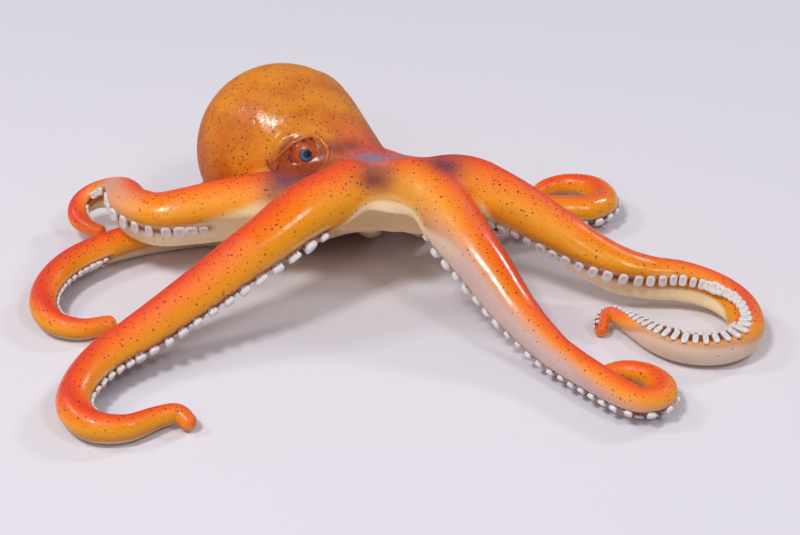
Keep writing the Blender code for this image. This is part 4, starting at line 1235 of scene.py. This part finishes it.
skinPaint = dict(
    cloudScale=90.0, grainScale=1500.0, cloudShift=0.12, grainShift=0.05,
    # from the pale side round to the ridge
    armStops=((0.00, display(226, 206, 184)), (0.16, display(224, 196, 160)), (0.25, display(214, 166, 106)),
              (0.31, display(204, 128, 22)), (0.42, display(232, 148, 10)), (0.56, display(250, 156, 8)),
              (0.68, display(252, 134, 8)), (0.80, display(249, 106, 14)), (0.90, display(242, 84, 22)),
              (1.0, display(230, 66, 34))),
    mantleStops=((0.30, display(198, 96, 2)), (0.5, display(212, 114, 2)), (0.72, display(234, 142, 12))),
    # what lies over the arms' own colours, in this order, and how much of it shows
    armLayers=dict(pale=(1.0, display(250, 226, 178)), lilac=(1.0, display(204, 166, 168)),
                   tip=(0.6, display(240, 122, 20)), lip=(1.0, display(252, 218, 172)),
                   parting=(0.5, display(246, 196, 110))),
    # first: the colour of the painted shade on the mantle's underside
    paintedUnderShade=display(150, 66, 34), plum=display(84, 48, 80), maroon=display(122, 38, 34),
    mist=display(138, 122, 150), cloudy=(0.2, 0.8, 0.75, 1.15),
    lid=display(176, 66, 20), lidShare=0.55,
    socket=display(150, 52, 6), socketShare=0.85, socketPlum=(0.46, 0.6, 0.0, 0.5),
    washBreak=0.3, edge=display(232, 208, 176), edgeShare=0.6,
    darkDot=display(46, 30, 66), redDot=display(190, 34, 20),
    dotsCloud=(0.35, 0.65, 0.55, 1.0), dotsDepth=(0.4, 1.1, 0.6, 1.0),
    # scale, size, seed, how many, how deep, colour
    dotKinds=((700.0, 0.2, 0.31, 0.8, 1.0, "redDot"), (1250.0, 0.25, 0.7, 1.0, 0.6, "darkDot"),
              (800.0, 0.27, 0.0, 1.0, 0.85, "darkDot")),
    armStrokes=0.2, roughness=0.19, specular=0.42, coat=0.3, coatRoughness=0.12,
    ripple=0.0009, rippleDepth=0.5,
)


def paintDots(tree, skin, cloud):
    dots = readValue(tree, "dots")
    many = times(tree, dots, ranged(tree, cloud, *skinPaint["dotsCloud"]))
    deep = ranged(tree, dots, *skinPaint["dotsDepth"])
    for scale, size, seed, share, depth, colour in skinPaint["dotKinds"]:
        spots = useGroup(tree, speckle, {"Scale": scale, "Size": size, "Seed": seed,
                                         "Share": times(tree, many, share)})
        skin = mixed(tree, times(tree, spots["Mask"], times(tree, deep, depth)), skin, skinPaint[colour])
    return skin


def makeSkin():
    material, tree, shader = newPaint("airbrushedSkin")
    where = objectPlace(tree)
    cloud = noise(tree, where, skinPaint["cloudScale"])
    grain = noise(tree, where, skinPaint["grainScale"], 2.0)
    fine = swing(tree, grain, skinPaint["grainShift"])
    shift = plus(tree, swing(tree, cloud, skinPaint["cloudShift"]), fine)
    warmth = plus(tree, plus(tree, readValue(tree, "turn"), shift), readValue(tree, "warm"), clamp=True)
    skin = colourRamp(tree, warmth, skinPaint["armStops"])
    for key, (share, colour) in skinPaint["armLayers"].items():
        skin = mixed(tree, times(tree, readValue(tree, key), share), skin, colour)
    # the mantle's colour: lighter on its top from painted light, then darker on its underside from painted
    # shade
    body = colourRamp(tree, plus(tree, cloud, readValue(tree, "paintedTopLight")), skinPaint["mantleStops"])
    body = mixed(tree, readValue(tree, "paintedUnderShade"), body, skinPaint["paintedUnderShade"])
    skin = mixed(tree, readValue(tree, "mantle"), skin, body)
    soft = ranged(tree, cloud, *skinPaint["cloudy"])
    for key in ("maroon", "plum", "mist"):
        skin = mixed(tree, times(tree, readValue(tree, key), soft, clamp=True), skin, skinPaint[key])
    plum = ranged(tree, cloud, *skinPaint["socketPlum"])
    socket = mixed(tree, plum, skinPaint["socket"], skinPaint["plum"])
    skin = mixed(tree, times(tree, readValue(tree, "socket"), skinPaint["socketShare"]), skin, socket)
    skin = mixed(tree, times(tree, readValue(tree, "lid"), skinPaint["lidShare"]), skin, skinPaint["lid"])
    wash = useGroup(tree, brownWash, {"Mask": readValue(tree, "rows"), "Break": skinPaint["washBreak"]})
    skin = mixed(tree, wash["Mask"], skin, wash["Color"])
    skin = mixed(tree, times(tree, readValue(tree, "edge"), skinPaint["edgeShare"]), skin, skinPaint["edge"])
    brushed = ranged(tree, readValue(tree, "mantle"), 0.0, 1.0, skinPaint["armStrokes"], 1.0)
    coat = useGroup(tree, varnish, {"Roughness": skinPaint["roughness"], "Strokes": brushed,
                                   "Gloss": readValue(tree, "gloss")})
    bump = addNode(tree, "Bump", {"Height": coat["Height"], "Distance": skinPaint["ripple"],
                                  "Strength": skinPaint["rippleDepth"]})
    feed(tree, shader, {
        "Base Color": paintDots(tree, skin, cloud), "Roughness": coat["Roughness"],
        "Normal": bump.outputs["Normal"], "Specular IOR Level": skinPaint["specular"],
        "Coat Weight": times(tree, coat["Weight"], skinPaint["coat"]),
        "Coat Roughness": skinPaint["coatRoughness"],
    })
    return material


suckerPaint = dict(
    white=display(234, 230, 234), cream=display(222, 204, 184), creamLost=0.55, strokeScale=1400.0,
    strokes=(0.35, 0.65), uneven=0.35, foot=(0.60, 0.28), dimple=0.15, washScale=900.0, washBreak=0.25,
    roughness=0.42, ridge=0.00012, ridgeDepth=0.6, coat=0.35, coatRoughness=0.12,
)


def makeSuckerPaint():
    material, tree, shader = newPaint("brushedSuckers")
    strokes = noise(tree, objectPlace(tree), suckerPaint["strokeScale"])
    brushed = ranged(tree, strokes, *suckerPaint["strokes"])
    white = mixed(tree, brushed, suckerPaint["cream"], suckerPaint["white"])
    white = mixed(tree, suckerPaint["creamLost"], white, suckerPaint["white"])
    uneven = plus(tree, readValue(tree, "rise"), swing(tree, strokes, suckerPaint["uneven"]))
    dimple = times(tree, readValue(tree, "dimple"), suckerPaint["dimple"])
    corner = maths(tree, "MAXIMUM", ranged(tree, uneven, *suckerPaint["foot"]), dimple)
    wash = useGroup(tree, brownWash, {"Mask": corner, "Scale": suckerPaint["washScale"],
                                      "Break": suckerPaint["washBreak"]})
    coat = useGroup(tree, varnish, {"Roughness": suckerPaint["roughness"]})
    bump = addNode(tree, "Bump", {"Height": strokes, "Distance": suckerPaint["ridge"],
                                  "Strength": suckerPaint["ridgeDepth"]})
    feed(tree, shader, {
        "Base Color": mixed(tree, wash["Mask"], white, wash["Color"]), "Roughness": coat["Roughness"],
        "Normal": bump.outputs["Normal"],
        "Coat Weight": suckerPaint["coat"], "Coat Roughness": suckerPaint["coatRoughness"],
    })
    return material


# around, rim, inner and black: from and to, in mm from the iris' or the pupil's middle
eyePaint = dict(
    ball=display(166, 62, 8), mottle=display(98, 34, 44), near=display(200, 80, 12),
    iris=display(44, 92, 132), irisPale=display(84, 124, 150), irisEdge=display(18, 34, 64),
    pupil=display(3, 3, 6),
    cloudScale=700.0, wobble=0.5, pupilWobble=0.5, mottled=(0.42, 0.62), around=(4.4, 2.4, 0.0, 0.75),
    rim=0.3, inner=0.35,
    black=(0.15, -0.1), roughness=0.42, strokes=0.2, specular=0.2, coat=0.15, coatRoughness=0.04,
)


def makeEyePaint():
    material, tree, shader = newPaint("paintedEye")
    cloud = noise(tree, objectPlace(tree), eyePaint["cloudScale"])
    wobble = swing(tree, cloud, eyePaint["wobble"])
    iris = plus(tree, readValue(tree, "irisGap"), wobble)
    pupil = plus(tree, readValue(tree, "pupilGap"), times(tree, wobble, eyePaint["pupilWobble"]))
    size, black = eyeLook["irisSize"], [eyeLook["pupilSize"] + more for more in eyePaint["black"]]
    blue = mixed(tree, cloud, eyePaint["iris"], eyePaint["irisPale"])
    ball = eyePaint["ball"]
    for share, colour in ((ranged(tree, cloud, *eyePaint["mottled"]), eyePaint["mottle"]),
                          (ranged(tree, iris, *eyePaint["around"]), eyePaint["near"]),
                          (ranged(tree, iris, size + eyePaint["rim"], size), eyePaint["irisEdge"]),
                          (ranged(tree, iris, size, size - eyePaint["inner"]), blue),
                          (ranged(tree, pupil, *black), eyePaint["pupil"])):
        ball = mixed(tree, share, ball, colour)
    coat = useGroup(tree, varnish, {"Roughness": eyePaint["roughness"], "Strokes": eyePaint["strokes"]})
    feed(tree, shader, {
        "Base Color": ball, "Roughness": coat["Roughness"], "Specular IOR Level": eyePaint["specular"],
        "Coat Weight": eyePaint["coat"], "Coat Roughness": eyePaint["coatRoughness"],
    })
    return material


for paint, pieces in ((makeSkin(), [head, *arms.values(), *lids]), (makeSuckerPaint(), suckers.values()),
                      (makeEyePaint(), eyes)):
    for piece in pieces:
        piece.data.materials.append(paint)
print("paint: done")

stagePlan = dict(floor=display(226, 222, 230), roughness=0.9, size=3.0, under=-0.0002,
                 room=(0.95, 0.94, 1.0, 1), roomLight=0.24)


def makeStage():
    cage = bmesh.new()
    bmesh.ops.create_grid(cage, x_segments=1, y_segments=1, size=stagePlan["size"])
    table = fromCage("table", cage)
    table.location.z = stagePlan["under"]
    paint, tree, shader = newPaint("paleTable")
    feed(tree, shader, {"Base Color": stagePlan["floor"], "Roughness": stagePlan["roughness"]})
    table.data.materials.append(paint)


# degrees from the front toward the right, degrees over the table, width in m, watts
lampPlans = dict(
    leftLamp=(-50, 60, 0.27, 6.0), sideLamp=(-100, 43, 0.24, 2.2), rightLamp=(52, 52, 0.26, 2.2),
    frontLamp=(10, 54, 0.20, 0.5), lowLamp=(-23, 34, 0.40, 1.1), rimLamp=(128, 37, 0.20, 2.6),
)
lampReach = 1.2


def addLamp(name, heading, height, size, watts):
    heading, height = math.radians(heading), math.radians(height)
    level = math.cos(height)
    place = Vector((math.sin(heading) * level, -math.cos(heading) * level, math.sin(height)))
    lamp = bpy.data.lights.new(name, "AREA")
    lamp.shape = "DISK"
    lamp.size = size
    lamp.energy = watts
    obj = placed(name, lamp)
    obj.location = place * lampReach
    obj.rotation_euler = (-place).to_track_quat("-Z", "Y").to_euler()


makeStage()
for name, plan in lampPlans.items():
    addLamp(name, *plan)
world = bpy.data.worlds.new("room")
world.use_nodes = True
feed(world.node_tree, world.node_tree.nodes["Background"],
     {"Color": stagePlan["room"], "Strength": stagePlan["roomLight"]})
bpy.context.scene.world = world
print("stage and lamps:", len(lampPlans))

cameraPlan = dict(lens=80.0, sensor=36.0, distance=0.514, tilt=30.0, aim=(0.002, 0.0087, 0.0))
lensData = bpy.data.cameras.new("camera")
lensData.lens = cameraPlan["lens"]
lensData.sensor_width = cameraPlan["sensor"]
camera = placed("camera", lensData)
tilt = math.radians(cameraPlan["tilt"])
back = Vector((0, -math.cos(tilt), math.sin(tilt)))
camera.location = Vector(cameraPlan["aim"]) + cameraPlan["distance"] * back
camera.rotation_euler = (math.pi / 2 - tilt, 0, 0)
bpy.context.scene.camera = camera
bpy.context.scene.view_settings.view_transform = "Standard"
